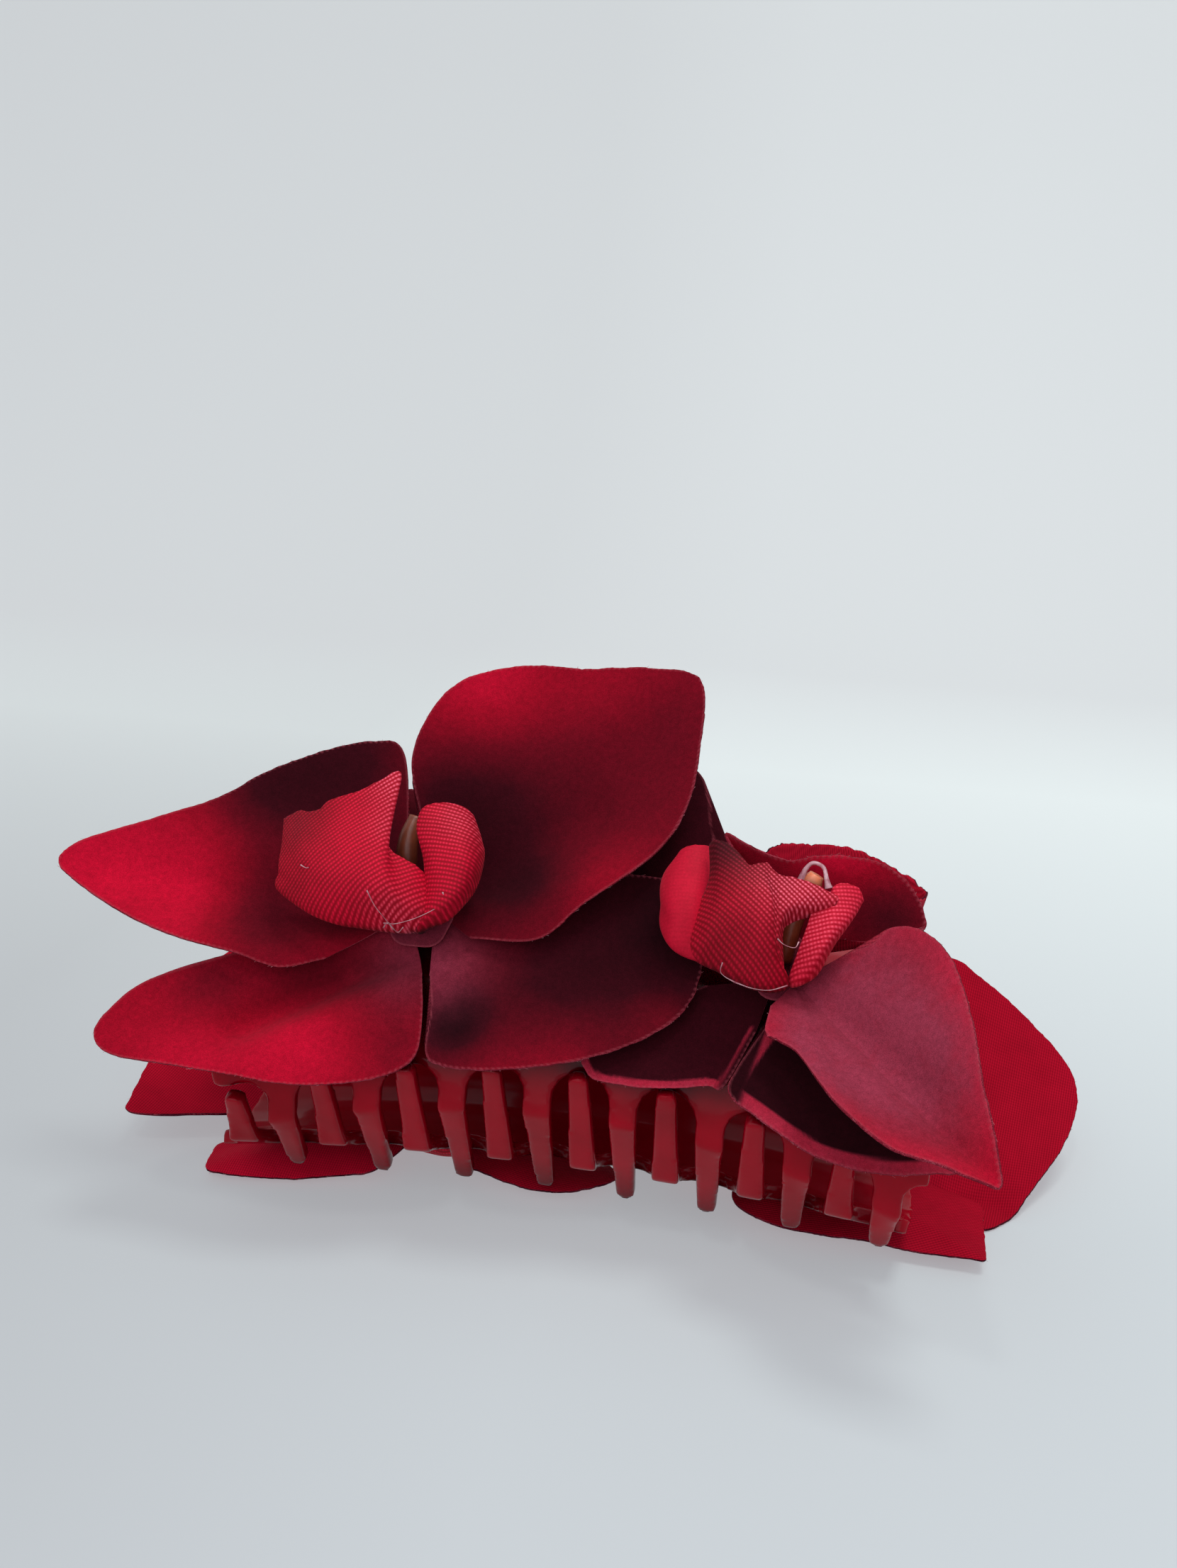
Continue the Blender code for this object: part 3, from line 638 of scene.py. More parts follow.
def jaw_sheet():
    """The outer surface of one jaw: shell, comb and handle as one sheet of quads."""
    shares = (-1.0, -0.5, 0.0, 0.5, 1.0)
    first = -HALF_LENGTH + END_MARGIN + TOOTH_PITCH / 2
    centres = [first + k * TOOTH_PITCH for k in range(TEETH)]
    columns = [-HALF_LENGTH + inset for inset in END_COLUMNS]
    starts = []
    for centre in centres:
        starts.append(len(columns))
        right = min(centre + TOOTH_PITCH / 2, HALF_LENGTH) - centre
        halves = [TOOTH_PITCH / 2] * 3 + [right] * 2
        columns += [centre + share * half for share, half in zip(shares[:-1], halves)]
    columns.append(HALF_LENGTH)
    rows = np.linspace(0.0, 1.0, SHELL_ROWS)
    bm = bmesh.new()
    shell = {}
    for c, x in enumerate(columns):
        for r, share in enumerate(rows):
            corner = float(smoothstep((share - 0.8) / 0.2)) * max(0.0, 1 - c / 2.5) ** 2
            place = shell_point(x + CORNER_SHIFT * corner, share - CORNER_CUT * corner)
            shell[c, r] = bm.verts.new(place)
    last = len(rows) - 1
    for c in range(len(columns) - 1):
        for r in range(last):
            bm.faces.new((shell[c, r], shell[c + 1, r], shell[c + 1, r + 1], shell[c, r + 1]))
    for centre, start in zip(centres, starts):
        tops = [shell[start + k, last] for k in range(5)]
        left, right = strip_places(centre, -1.0), strip_places(centre, 1.0)
        grid = [tops]
        for (x0, behind), (x1, _) in zip(left, right):
            line = [x0, (x0 + centre) / 2, centre, (x1 + centre) / 2, x1]
            grid.append([bm.verts.new(from_bend(x, behind)) for x in line])
        for a, b in zip(tooth_rows(centre, -1.0), tooth_rows(centre, 1.0)):
            grid.append([bm.verts.new(a.lerp(b, k / 4)) for k in range(5)])
        for row, following in zip(grid, grid[1:]):
            for k in range(4):
                bm.faces.new((row[k], row[k + 1], following[k + 1], following[k]))
    add_handle(bm, shell, columns)
    return bm


def add_handle(bm, shell, columns):
    """Carry the sheet backwards as the thumb tab, with a softly rounded end."""
    middle = [c for c, x in enumerate(columns) if abs(x) < HANDLE_HALF_WIDTH + 0.1]
    start = shell_point(0.0, 0.0)
    bend, edge = (np.array(spot) for spot in HANDLE_PROFILE[-2:])
    end = edge + (edge - bend) / np.linalg.norm(edge - bend) * HANDLE_ROUNDING
    fine = spline([(-start.y, start.z), *HANDLE_PROFILE, end], 12)
    stations = lengths(fine)[::12]
    curve = evenly(fine, 1.6)
    total = lengths(curve)[-1]
    rows = [[shell[c, 0] for c in middle]]
    for (forward, up), along in zip(curve[1:], lengths(curve)[1:]):
        closing = max(0.0, 1.0 - (total - along) / HANDLE_CLOSING)
        width = np.interp(along, stations, HANDLE_WIDTHS) * (1.0 - 0.12 * closing**3)
        rows.append([bm.verts.new((columns[c] * width, -forward, up)) for c in middle])
    for row, following in zip(rows, rows[1:]):
        for k in range(len(row) - 1):
            bm.faces.new((row[k], row[k + 1], following[k + 1], following[k]))


def make_jaw(name, place, body):
    bm = jaw_sheet()
    bmesh.ops.recalc_face_normals(bm, faces=bm.faces)
    if sum(face.normal.z * face.calc_area() for face in bm.faces) < 0:
        bmesh.ops.reverse_faces(bm, faces=bm.faces)
    mesh = from_bmesh(name, bm, PLASTIC)
    mesh.transform(place @ SCALE)
    jaw = finish_object(name + "_moulding", mesh, body, "red_plastic", name)
    thicken(jaw, WALL, -1.0)
    skin = jaw.modifiers.new("one_skin", "REMESH")
    skin.mode = "VOXEL"
    skin.voxel_size = SKIN_CELL * MM
    skin.use_smooth_shade = True
    rounding = jaw.modifiers.new("rounded_edges", "SMOOTH")
    rounding.factor = 0.5
    rounding.iterations = ROUNDING_PASSES
    make_knuckles(name + "_knuckles", place, body)


def make_knuckles(name, place, body):
    """The two barrels on the pin, each with a web that runs up into the shell."""
    bm = bmesh.new()
    for start, stop in KNUCKLES:
        profile = [(start, BORE_RADIUS), (start, KNUCKLE_RADIUS - 0.3),
                   (start + 0.3, KNUCKLE_RADIUS), (stop - 0.3, KNUCKLE_RADIUS),
                   (stop, KNUCKLE_RADIUS - 0.3), (stop, BORE_RADIUS), (start, BORE_RADIUS)]
        take_part(bm, lathe_mesh("part", profile, place, PLASTIC))
        web = bmesh.ops.create_cube(bm, size=1.0)["verts"]
        low = Vector((start + 0.15, -2.3, 1.7))
        high = Vector((stop - 0.15, 2.2, 5.6))
        bmesh.ops.scale(bm, vec=high - low, verts=web)
        bmesh.ops.translate(bm, vec=(low + high) / 2, verts=web)
        bmesh.ops.transform(bm, matrix=place @ SCALE, verts=web)
    mesh = from_bmesh(name, bm, PLASTIC)
    knuckles = finish_object(name, mesh, body, "red_plastic")
    bevel = knuckles.modifiers.new("rounded_edges", "BEVEL")
    bevel.width = 0.25 * MM
    bevel.segments = 2
    bevel.limit_method = "ANGLE"


def make_pin():
    end = HANDLE_HALF_WIDTH + 0.3
    head = [(0.0, PIN_RADIUS), (0.0, 1.75), (0.25, 1.87), (0.5, 1.75), (0.75, 1.3), (0.9, 0.0)]
    profile = [(-end - x, r) for x, r in reversed(head)] + [(end + x, r) for x, r in head]
    mesh = lathe_mesh("hinge_pin_axle", profile, TO_CLIP, STEEL)
    finish_object("hinge_pin_axle", mesh, LOWER, "steel", "hinge_pin")


def make_spring():
    """One continuous wire: a leg under each thumb tab and five turns round the pin."""
    radius, wire, turns, pitch = 2.3, 0.5, 5, 2.4
    half = turns * pitch / 2
    share = np.linspace(0.0, 1.0, turns * 32)
    angle = math.radians(50) - (2 * math.pi * turns - math.radians(80)) * share
    coil = np.stack([-half + 2 * half * share, radius * np.sin(angle), radius * np.cos(angle)], -1)
    bend, pad = (np.array((0.0, -f, u)) for f, u in HANDLE_PROFILE[1:])
    along = (pad - bend) / np.linalg.norm(pad - bend)
    inward = np.array((0.0, along[2], -along[1]))
    tip = bend + along * 8.0 + inward * (WALL + wire + 0.3)
    elbow = np.array((0.0, 4.2, 3.2))
    flip = np.array((1.0, 1.0, -1.0))
    first, last = coil[0] * (1, 0, 0), coil[-1] * (1, 0, 0)
    upper = spline([tip + first, (tip + elbow) / 2 + first, elbow + first, coil[0]], 10)[:-1]
    lower = spline([coil[-1], elbow * flip + last, (tip + elbow) / 2 * flip + last,
                    tip * flip + last], 10)[1:]
    path = np.vstack([upper, coil, lower])
    mesh = tubes_mesh("spring_wire", [(path, wire)], TO_CLIP, STEEL, 12)
    spring = finish_object("spring_wire", mesh, None, "steel", "torsion_spring")
    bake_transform(spring)


# ---- petals and sepals --------------------------------------------------------------------------
BASE_RADIUS = 3.2
FULL_CLIMB = 0.62
TILT_REACH = 25.0
RIM_WIDTH = 3.0
RIPPLE, CRINKLE = 0.35, 0.10
HEM_TONE, HEM_DUST = 0.85, 0.45


def ridge(points, x0, y0, x1, y1, height, width):
    """A soft ridge, or a groove if height is negative, along a line on the flower's plane."""
    start, end = np.array((x0, y0)), np.array((x1, y1))
    along = end - start
    share = np.clip(((points - start) @ along) / (along @ along), 0.0, 1.0)
    away = np.linalg.norm(points - start - share[..., None] * along, axis=-1)
    return height * np.exp(-((away / width) ** 2))


def blot(points, azimuth, distance, radius, amount):
    """A soft round blot on the flower's plane."""
    away = np.linalg.norm(points - polar(azimuth, distance), axis=-1)
    return amount * np.exp(-((away / radius) ** 2))


def lobe_grid(outline, layer=0.0, rise=0.0, bend=1.5, tilt=0.0, cup=0.0, lowest=None,
              folds=(), swells=(), curls=(), tone=0.6, tones=(), rim_tone=0.0, dust_and_glint=(),
              hem=None, seed=0.0):
    """Points and tone of one petal in its flower's frame; a few designs put painted shade and
    painted light into the tone.

    outline, layer, rise, bend, tilt, cup and lowest are the frame's own shape. folds are ridges,
    swells are blots of height, and curls lift or drop the rim near an azimuth. hem is a pale
    folded band (width, first azimuth, last azimuth).
    """
    tip_azimuth, reach = max(outline, key=lambda spot: spot[1])
    ahead = polar(tip_azimuth, 1.0)
    across = np.array((-ahead[1], ahead[0]))
    rim = evenly(spline([polar(*spot) for spot in outline], 24), 0.45)
    outward = rim / np.linalg.norm(rim, axis=1)[:, None]
    fray = 0.10 * wobble(rim, 0.35, seed + 5.0) + 0.16 * wobble(rim, 1.7, seed + 9.0)
    edge = rim + outward * fray[:, None]
    base_from = 0.75 * outline[0][0] + 0.25 * outline[-1][0]
    base_to = 0.25 * outline[0][0] + 0.75 * outline[-1][0]
    base = polar(np.linspace(base_from, base_to, len(rim)), BASE_RADIUS)
    t = 1.0 - (1.0 - np.linspace(0.0, 1.0, 34)) ** 1.5
    smooth_rows = base + (rim - base) * t[:, None, None]
    flat = np.concatenate([smooth_rows[:-1], edge[None]])
    distance = np.linalg.norm(flat, axis=-1)
    side = flat @ across
    rim_reach = (np.linalg.norm(rim, axis=1) ** 10 + (FULL_CLIMB * reach) ** 10) ** 0.1
    height = layer + rise * (distance / rim_reach) ** bend
    height += cup * side**2 / reach + tilt * side * smoothstep(distance / TILT_REACH)
    to_rim = np.linalg.norm(flat[:, :, None] - rim[None, None, ::2], axis=-1).min(-1)
    away = smoothstep((distance - 6.0) / 14.0)
    for fold in folds:
        height += ridge(flat, *fold) * smoothstep((distance - 3.0) / 8.0)
    for swell in swells:
        height += blot(flat, *swell)
    azimuths = np.degrees(np.arctan2(flat[..., 1], flat[..., 0]))
    for middle, spread, lift, width in curls:
        turn = (azimuths - middle + 180.0) % 360.0 - 180.0
        height += lift * np.exp(-((turn / spread) ** 2)) * np.exp(-((to_rim / width) ** 2))
    height += RIPPLE * away * wobble(flat, 11.0, seed + 21.0)
    height += CRINKLE * away * wobble(flat, 3.2, seed + 33.0)
    if lowest is not None:
        height = np.maximum(height, lowest)
    tone_values = np.full(height.shape, tone)
    for spot in tones:
        tone_values += blot(flat, *spot)
    tone_values += rim_tone * np.exp(-((to_rim / RIM_WIDTH) ** 2))
    dusty = np.zeros(height.shape)
    for spot in dust_and_glint:
        dusty += blot(flat, *spot)
    if hem:
        width, start, stop = hem
        turned = (azimuths - start + 60.0) % 360.0 - 60.0
        shown = smoothstep(turned / 4.0 + 0.5) * smoothstep((stop - start - turned) / 4.0 + 0.5)
        band = smoothstep((width - to_rim) / 0.35 + 0.5) * shown
        tone_values += band * (HEM_TONE - tone_values)
        dusty += band * (HEM_DUST - dusty)
    uv = np.stack([flat @ ahead, side], -1)
    points = np.concatenate([flat, height[..., None]], -1)
    layers = {"tone": np.clip(tone_values, 0, 1), "rim": to_rim, "dust_and_glint": np.clip(dusty, 0, 1)}
    return points, uv, layers


def fibres_along(points, count, longest):
    """Short loose fibres that stand off a petal's cut edge."""
    rim, inner = points[-1], points[-3]
    paths = []
    for _ in range(count):
        k = draw.randrange(2, len(rim) - 2)
        out = rim[k] - inner[k]
        out = out / (np.linalg.norm(out) + 1e-9)
        along = rim[k + 1] - rim[k - 1]
        along = along / (np.linalg.norm(along) + 1e-9)
        length = longest * draw.uniform(0.3, 1.0)
        sway, lift = draw.uniform(-1.2, 1.2), draw.uniform(-0.5, 0.6)
        start = rim[k] - 0.1 * out
        middle = start + length * (0.6 * out + 0.3 * sway * along)
        end = start + length * (out + 0.9 * sway * along + np.array((0, 0, lift)))
        paths.append((spline([start, middle, end], 3), 0.022))
    return paths


def make_lobes(flower, lobes, place, body, reverse_up):
    """All petals and sepals of one flower, and the loose fibres on their edges."""
    faces = [SATIN, VELVET, DARK_EDGE] if reverse_up else [VELVET, SATIN, EDGE]
    strands = []
    for number, (part, shape) in enumerate(lobes.items()):
        points, uv, layers = lobe_grid(**shape, seed=number * 3.7 + len(flower))
        name = f"{flower}_{part}"
        mesh = grid_mesh(name, points, place, faces, uv, layers)
        thicken(finish_object(name + "_cloth", mesh, body, "petal_cloth", name))
        strands += fibres_along(points, len(points[0]) // 6, 0.45)
    mesh = tubes_mesh(flower + "_fibres", strands, place, FIBRE, 3)
    finish_object(flower + "_fibres", mesh, body, "petal_cloth")


# ---- lips, columns and glue ---------------------------------------------------------------------
# (radius, height) from the middle outwards
HEART_PROFILE = ((0.05, 2.5), (1.5, 2.4), (3.0, 2.3), (4.2, 2.1), (5.2, 1.9))
PRESSED_PROFILE = ((0.4, 0.0), (4.0, 0.0), (8.5, 0.0), (9.6, 0.5), (10.6, 1.6), (11.2, 2.8))


def loft(columns, around, along):
    """A smooth surface through columns of control points."""
    rails = np.array([spline(column, along) for column in columns])
    return np.stack([spline(rails[:, k], around) for k in range(rails.shape[1])])


def lip_sheet(columns, tone=0.8, angle=0.0, ribs=1.0, tones=(), dust_and_glint=(), scallop=0.25, seed=0.0):
    """One sheet of a lip from columns of control points, with its tone and its ribs' direction."""
    grid = loft(columns, 10, 14)
    count = grid.shape[1]
    along = lengths(grid[-1])
    upward = grid[-1] - grid[-4]
    upward /= np.linalg.norm(upward, axis=1)[:, None] + 1e-9
    rim = np.stack([along, np.zeros(count)], 1)
    notch = scallop * wobble(rim, 1.9, seed + 3.0) + 0.12 * wobble(rim, 0.4, seed + 6.0)
    for back, share in enumerate((1.0, 0.6, 0.25)):
        grid[-1 - back] += upward * (notch * share)[:, None]
    grid[..., 2] += 0.15 * wobble(grid, 4.0, seed + 8.0)
    flat = grid[..., :2]
    turn = math.radians(angle)
    uv = np.stack([flat @ (math.cos(turn), math.sin(turn)),
                   flat @ (-math.sin(turn), math.cos(turn))], -1)
    tone_values = np.full(flat.shape[:2], tone) + 0.04 * wobble(grid, 5.0, seed + 2.0)
    for spot in tones:
        tone_values += blot(flat, *spot)
    # Towards the heart, where the sheet is low, the tone fades to black.
    tone_values *= smoothstep((grid[..., 2] - 2.0) / 6.0)
    dusty = np.zeros(flat.shape[:2])
    for spot in dust_and_glint:
        dusty += blot(flat, *spot)
    layers = {"tone": np.clip(tone_values, 0, 1), "dust_and_glint": np.clip(dusty, 0, 1),
              "ribs": np.full(flat.shape[:2], ribs)}
    return grid, uv, layers


def make_lip(flower, sheets, place, body):
    """A lip of ribbed cloth, folded from the sheets its design lists."""
    name = flower + "_lip"
    grids = [lip_sheet(**sheet, seed=number * 5.3) for number, sheet in enumerate(sheets)]
    mesh = sheets_mesh(name, grids, place, [LIP_CLOTH, LIP_CLOTH, EDGE])
    thicken(finish_object(name + "_cloth", mesh, body, "lip_cloth", name))


def make_heart(flower, place, body):
    """The dark disc of cloth that the petals and the lip are gathered on."""
    angles = circle(40)
    rings = []
    for radius, height in HEART_PROFILE:
        wave = radius * (1.0 + 0.05 * np.sin(5 * angles))
        rings.append(np.stack([wave * np.cos(angles), wave * np.sin(angles),
                               height + 0.1 * np.cos(5 * angles)], -1))
    grid = np.array(rings)
    shape = grid.shape[:2]
    outer = HEART_PROFILE[-1][0]
    rim = np.broadcast_to(np.linspace(outer - 0.05, 0.0, 5)[:, None], shape)
    layers = {"tone": np.full(shape, 0.3), "rim": rim, "dust_and_glint": np.full(shape, 0.35)}
    mesh = grid_mesh(flower + "_heart", grid, place, [VELVET, SATIN, EDGE], grid[..., :2], layers,
                     wrap=True)
    thicken(finish_object(flower + "_heart_cloth", mesh, body, "petal_cloth"))


def pressed_lip(flower, floor, place, body):
    """A lip pressed flat on the table: a shallow dish with a wavy rim."""
    angles = circle(96)
    rings = []
    for radius, height in PRESSED_PROFILE:
        wave = 1.0 + 0.04 * (radius / 11.0) ** 3 * np.sin(3 * angles) * np.cos(5 * angles)
        ring = np.stack([radius * wave * np.cos(angles), radius * wave * np.sin(angles),
                         np.full(96, floor + 0.25 + height)], -1)
        rings.append(ring)
    rings = np.array(rings)
    smooth = np.stack([spline(rings[:, k], 6) for k in range(96)], 1)
    uv = smooth[..., :2]
    layers = {"tone": np.full(smooth.shape[:2], 0.8), "dust_and_glint": np.zeros(smooth.shape[:2]),
              "ribs": np.ones(smooth.shape[:2])}
    name = flower + "_lip"
    mesh = grid_mesh(name, smooth, place, [LIP_CLOTH, LIP_CLOTH, EDGE], uv, layers, wrap=True)
    thicken(finish_object(name + "_cloth", mesh, body, "lip_cloth", name))


def make_column(flower, path, radii, place, body, material):
    """The column in a lip: a bent peg with a swollen, blunt end."""
    curve = spline(path, 10)
    widths = np.interp(np.linspace(0, 1, len(curve)), np.linspace(0, 1, len(radii)), radii)
    grid = tube(curve, widths, 20)
    tone = np.broadcast_to(np.linspace(0, 1, len(grid))[:, None] ** 2, grid.shape[:2])
    name = flower + "_column"
    mesh = weld(grid_mesh(name, grid, place, [material], None, {"tone": tone}, wrap=True))
    finish_object(name + "_peg", mesh, body, "column_plastic", name)


def make_glue_pad(flower, radius, bottom, top, place, body):
    """A squeezed blob of hot glue with a lumpy rounded edge."""
    rows = []
    middle, half = (bottom + top) / 2, (top - bottom) / 2
    for polar_angle in np.linspace(0, math.pi, 15):
        flat = math.sin(polar_angle) ** 0.45
        rows.append([(radius * flat * math.cos(a), radius * flat * math.sin(a),
                      middle - half * math.cos(polar_angle))
                     for a in circle(48)])
    grid = np.array(rows)
    grid[..., :2] *= (1.0 + 0.10 * wobble(grid, 3.0, 4.0))[..., None]
    name = flower + "_glue_pad"
    mesh = weld(grid_mesh(name, grid, place, [GLUE], wrap=True))
    finish_object(name + "_blob", mesh, body, "hot_glue", name)


def threads(name, lines, place, radius=0.08):
    """Thin strings on an upper orchid, thicker where they start and end."""
    paths = []
    for line in lines:
        path = spline(line, 8)
        ends = np.abs(np.linspace(-1.0, 1.0, len(path))) ** 3
        paths.append((path, radius * (0.7 + 0.9 * ends)))
    finish_object(name, tubes_mesh(name, paths, place, THREAD, 6), UPPER, "hot_glue")


# ---- orchids ------------------------------------------------------------------------------------
UPPER_TILT = 22.0
UPPER_LEFT = {
    "centre": (-24.5, -23.5, 23.6),
    "lobes": {
        "dorsal_sepal": dict(
            outline=((92, 8), (96, 20), (110, 28), (122, 21), (126, 8)),
            rise=-10, tone=0.35,
        ),
        "left_sepal": dict(
            outline=((193, 12), (199, 30), (201, 42), (204, 47.8), (208, 52), (213, 50.6),
                (221, 42.8), (230, 37.3), (243, 32.4), (258, 28), (271, 25), (279.5, 21.8),
                (282.5, 15), (282, 9)),
            rise=3.5, tone=0.74,
            folds=((-2, -5, -24, -20, -3.4, 3.4), (0, -12, -22, -26, 1.6, 5.0)),
            curls=((240, 25, 1.2, 5.0),),
            # The darker blots at azimuths 212 and 206 are painted shade on the upper side of the
            # crease, and the lighter blots at 236 and 222 are painted light along its lower side;
            # the other blots are print.
            tones=((265, 9, 9, -0.30), (212, 20, 8, -0.26), (206, 34, 6, -0.22),
                (236, 26, 8, 0.20), (222, 40, 9, 0.12), (272, 22, 5, -0.15)),
            dust_and_glint=((262, 6, 7, 0.5),),
        ),
        "right_sepal": dict(
            outline=((289, 9), (287, 15), (283.5, 21.5), (288, 24), (300, 26.5), (314, 30.2),
                (326, 34.8), (337, 40), (346, 43.7), (354, 44.4), (364, 44), (374, 39), (380, 26),
                (381, 12)),
            rise=3.5, tone=0.42,
            # The large dark blot at azimuth 5 is painted shade over the sepal's upper part; the
            # other blots are print, with a dark smudge near the heart.
            tones=((298, 18, 5.0, -0.5), (300, 28, 8, 0.16), (322, 33, 8, 0.20),
                (340, 24, 10, -0.16), (5, 40, 15, -0.38), (343, 41, 5, 0.16)),
            dust_and_glint=((294, 7, 7, 0.75),),
        ),
        "left_petal": dict(
            outline=((112, 10), (106, 27.5), (115, 30.8), (129, 32.8), (145, 35.8), (158, 39.6),
                (167, 46.8), (174, 56.2), (178, 59.4), (181, 56.5), (188, 45.5), (194, 37),
                (201, 28.5), (210, 22.6), (214, 16)),
            layer=1.4, rise=4, tone=0.64,
            folds=((-14, 1, -50, 0, -1.8, 6.0),),
            curls=((200, 14, 1.4, 5.0),),
            tones=((125, 30, 13, -0.42), (150, 34, 9, -0.3), (184, 26, 9, -0.3),
                (178, 52, 12, 0.3), (172, 36, 9, 0.2), (192, 36, 9, 0.22), (140, 12, 10, -0.3)),
        ),
        "right_petal": dict(
            outline=((-18, 9), (-7, 19.4), (7, 25.8), (18, 37.3), (27, 44.4), (38, 51.1),
                (45, 56.4), (49, 57.4), (54, 54.1), (64, 48.4), (77, 44.5), (88, 40.2),
                (96, 34.3), (103, 25.5), (98, 14)),
            layer=1.4, rise=6.5, tone=0.56,
            swells=((80, 44, 12, -1.6),),
            curls=((15, 16, 1.2, 6.0),),
            folds=((4, 4, 24, 18, -1.6, 5.0), (6, 10, 20, 42, -0.9, 6.0)),
            tones=((62, 22, 13, -0.26), (90, 20, 9, -0.22), (40, 36, 14, -0.08),
                (86, 41, 13, 0.34), (60, 50, 10, 0.12), (46, 50, 8, -0.06), (14, 30, 8, 0.14),
                (22, 18, 6, -0.2), (30, 8, 10, -0.2)),
        ),
    },
}
UPPER_RIGHT = {
    "centre": (32.0, -26.0, 23.6),
    "lobes": {
        "dorsal_sepal": dict(
            outline=((38, 8), (17, 13), (17, 19.5), (26, 20.9), (39, 21), (52, 20.1), (66, 18),
                (80, 16.2), (92, 15), (104, 16), (115, 18.8), (121, 21), (118, 13), (114, 8)),
            rise=8, tone=0.5, rim_tone=0.15,
            tones=((70, 18, 7, 0.3), (25, 17, 6, -0.25)),
        ),
        "left_sepal": dict(
            outline=((196, 12), (205, 30), (214, 33), (222, 29.3), (232, 24.4), (242, 20.6),
                (248, 19.3), (250, 10)),
            rise=-0.6, tone=0.2, hem=(1.1, 205, 246),
        ),
        "right_sepal": dict(
            outline=((257, 9), (251, 17), (253, 21.2), (266, 23.3), (283, 27.9), (297, 31.8),
                (309, 35.2), (316, 37.3), (321, 33), (325, 26), (326, 12)),
            # The very dark tone is painted shadow cast by the right petal lying over this sepal.
            rise=3.0, cup=0.3, tone=0.1, hem=(2.0, 258, 318),
        ),
        "left_petal": dict(
            outline=((131, 9), (123, 23), (118.5, 30), (117, 35.5), (120, 39), (127, 40),
                (140, 36), (152, 28), (172, 10)),
            layer=1.4, rise=-3.0, bend=2.0, tone=0.2,
        ),
        "right_petal": dict(
            outline=((256, 7), (260, 11.6), (270, 12.7), (281, 15), (290, 24), (298, 31.5),
                (306, 36.3), (311, 41), (312.8, 42.4), (316, 39.5), (325, 32.2), (336, 27.5),
                (350, 23.8), (362, 21.5), (373, 18.7), (379.5, 15.3), (375, 12.5), (374, 9)),
            layer=1.4, rise=19, bend=1.4, tone=0.66, rim_tone=0.22,
            folds=((3, -2, 22, -20, -1.2, 3.0), (2, -6, 14, -16, 0.9, 3.0)),
            dust_and_glint=((335, 10, 14, 0.9), (318, 25, 10, 0.85), (300, 16, 7, 0.6)),
            tones=((345, 24, 7, 0.1), (326, 30, 5, 0.12)),
        ),
    },
}
LOWER_HEART_HEIGHT = 5.8
LOWER_HEART_BACK = -10.9
LOWER_LOOK = dict(tone=0.82)
LOWER_LEFT = {
    "x": -24.5,
    "lobes": {
        "dorsal_sepal": dict(
            outline=((98, 12), (102, 30), (116, 41), (128, 37), (138, 27), (136, 12)),
            layer=0.4, rise=2,
        ),
        "left_sepal": dict(
            outline=((210, 12), (205, 30), (204, 39.5), (209, 41.7), (214, 43.2), (217, 42.4),
                (222, 38), (230, 31.5), (241, 25.2), (250, 21.5), (258, 11)),
            # Its tone is raised above the other lower lobes' to paint light on it where the clip
            # shades it.
            rise=-4.4, bend=2.0, tone=1.0,
        ),
        "right_sepal": dict(
            outline=((280, 10), (289, 17), (301, 20.6), (312, 26.5), (321, 30.5), (330, 33),
                (339, 34), (346, 27), (350, 11)),
            rise=-3.2, bend=2.0,
        ),
        "left_petal": dict(
            outline=((142, 14), (147, 42), (156, 52), (168, 54.5), (180, 53.8), (190, 54.3),
                (197, 55.5), (199.3, 55.8), (200.3, 53), (201, 44), (202.5, 28), (203, 14)),
            layer=-0.8, rise=1.5, tilt=-0.42,
        ),
        "right_petal": dict(
            outline=((30, 12), (38, 40), (55, 50), (70, 42), (80, 12)),
            layer=-0.8, rise=5,
        ),
    },
}
LOWER_RIGHT = {
    "x": 32.0,
    "lobes": {
        "dorsal_sepal": dict(
            outline=((64, 12), (50, 27), (47, 34.6), (55, 37.8), (64, 39), (73, 41), (80, 39.8),
                (87, 36.8), (93, 35), (99, 31.8), (104, 26), (98, 12)),
            layer=0.4, rise=41, bend=2.6, tilt=0.15, tone=0.86,
            dust_and_glint=((70, 34, 30, 0.1),),
        ),
        "left_sepal": dict(
            outline=((184, 9), (192, 15), (210, 18), (226, 15), (238, 9)),
            rise=-2.5,
        ),
        "right_sepal": dict(
            outline=((250, 9), (252, 17), (264, 20.2), (280, 22), (295, 23.9), (308, 26.8),
                (318, 32.5), (325, 38.2), (327.5, 40.9), (329.5, 40.4), (340, 37.4), (351, 35),
                (355, 24), (350, 12)),
            layer=0.6, rise=-4.0, bend=2.0,
        ),
        "left_petal": dict(
            outline=((120, 12), (130, 30), (146, 36), (160, 31), (172, 20), (170, 10)),
            layer=-0.8, rise=-1,
        ),
        "right_petal": dict(
            outline=((352, 12), (346, 30), (344, 36.8), (351, 40.5), (360, 45), (369, 50.7),
                (377, 55.3), (383, 56.3), (391, 54), (402, 50.4), (411, 46.5), (410, 30),
                (406, 14)),
            layer=-0.8, rise=10.5, tilt=0.6,
            swells=((348, 33, 9, -4.0),),
        ),
    },
}

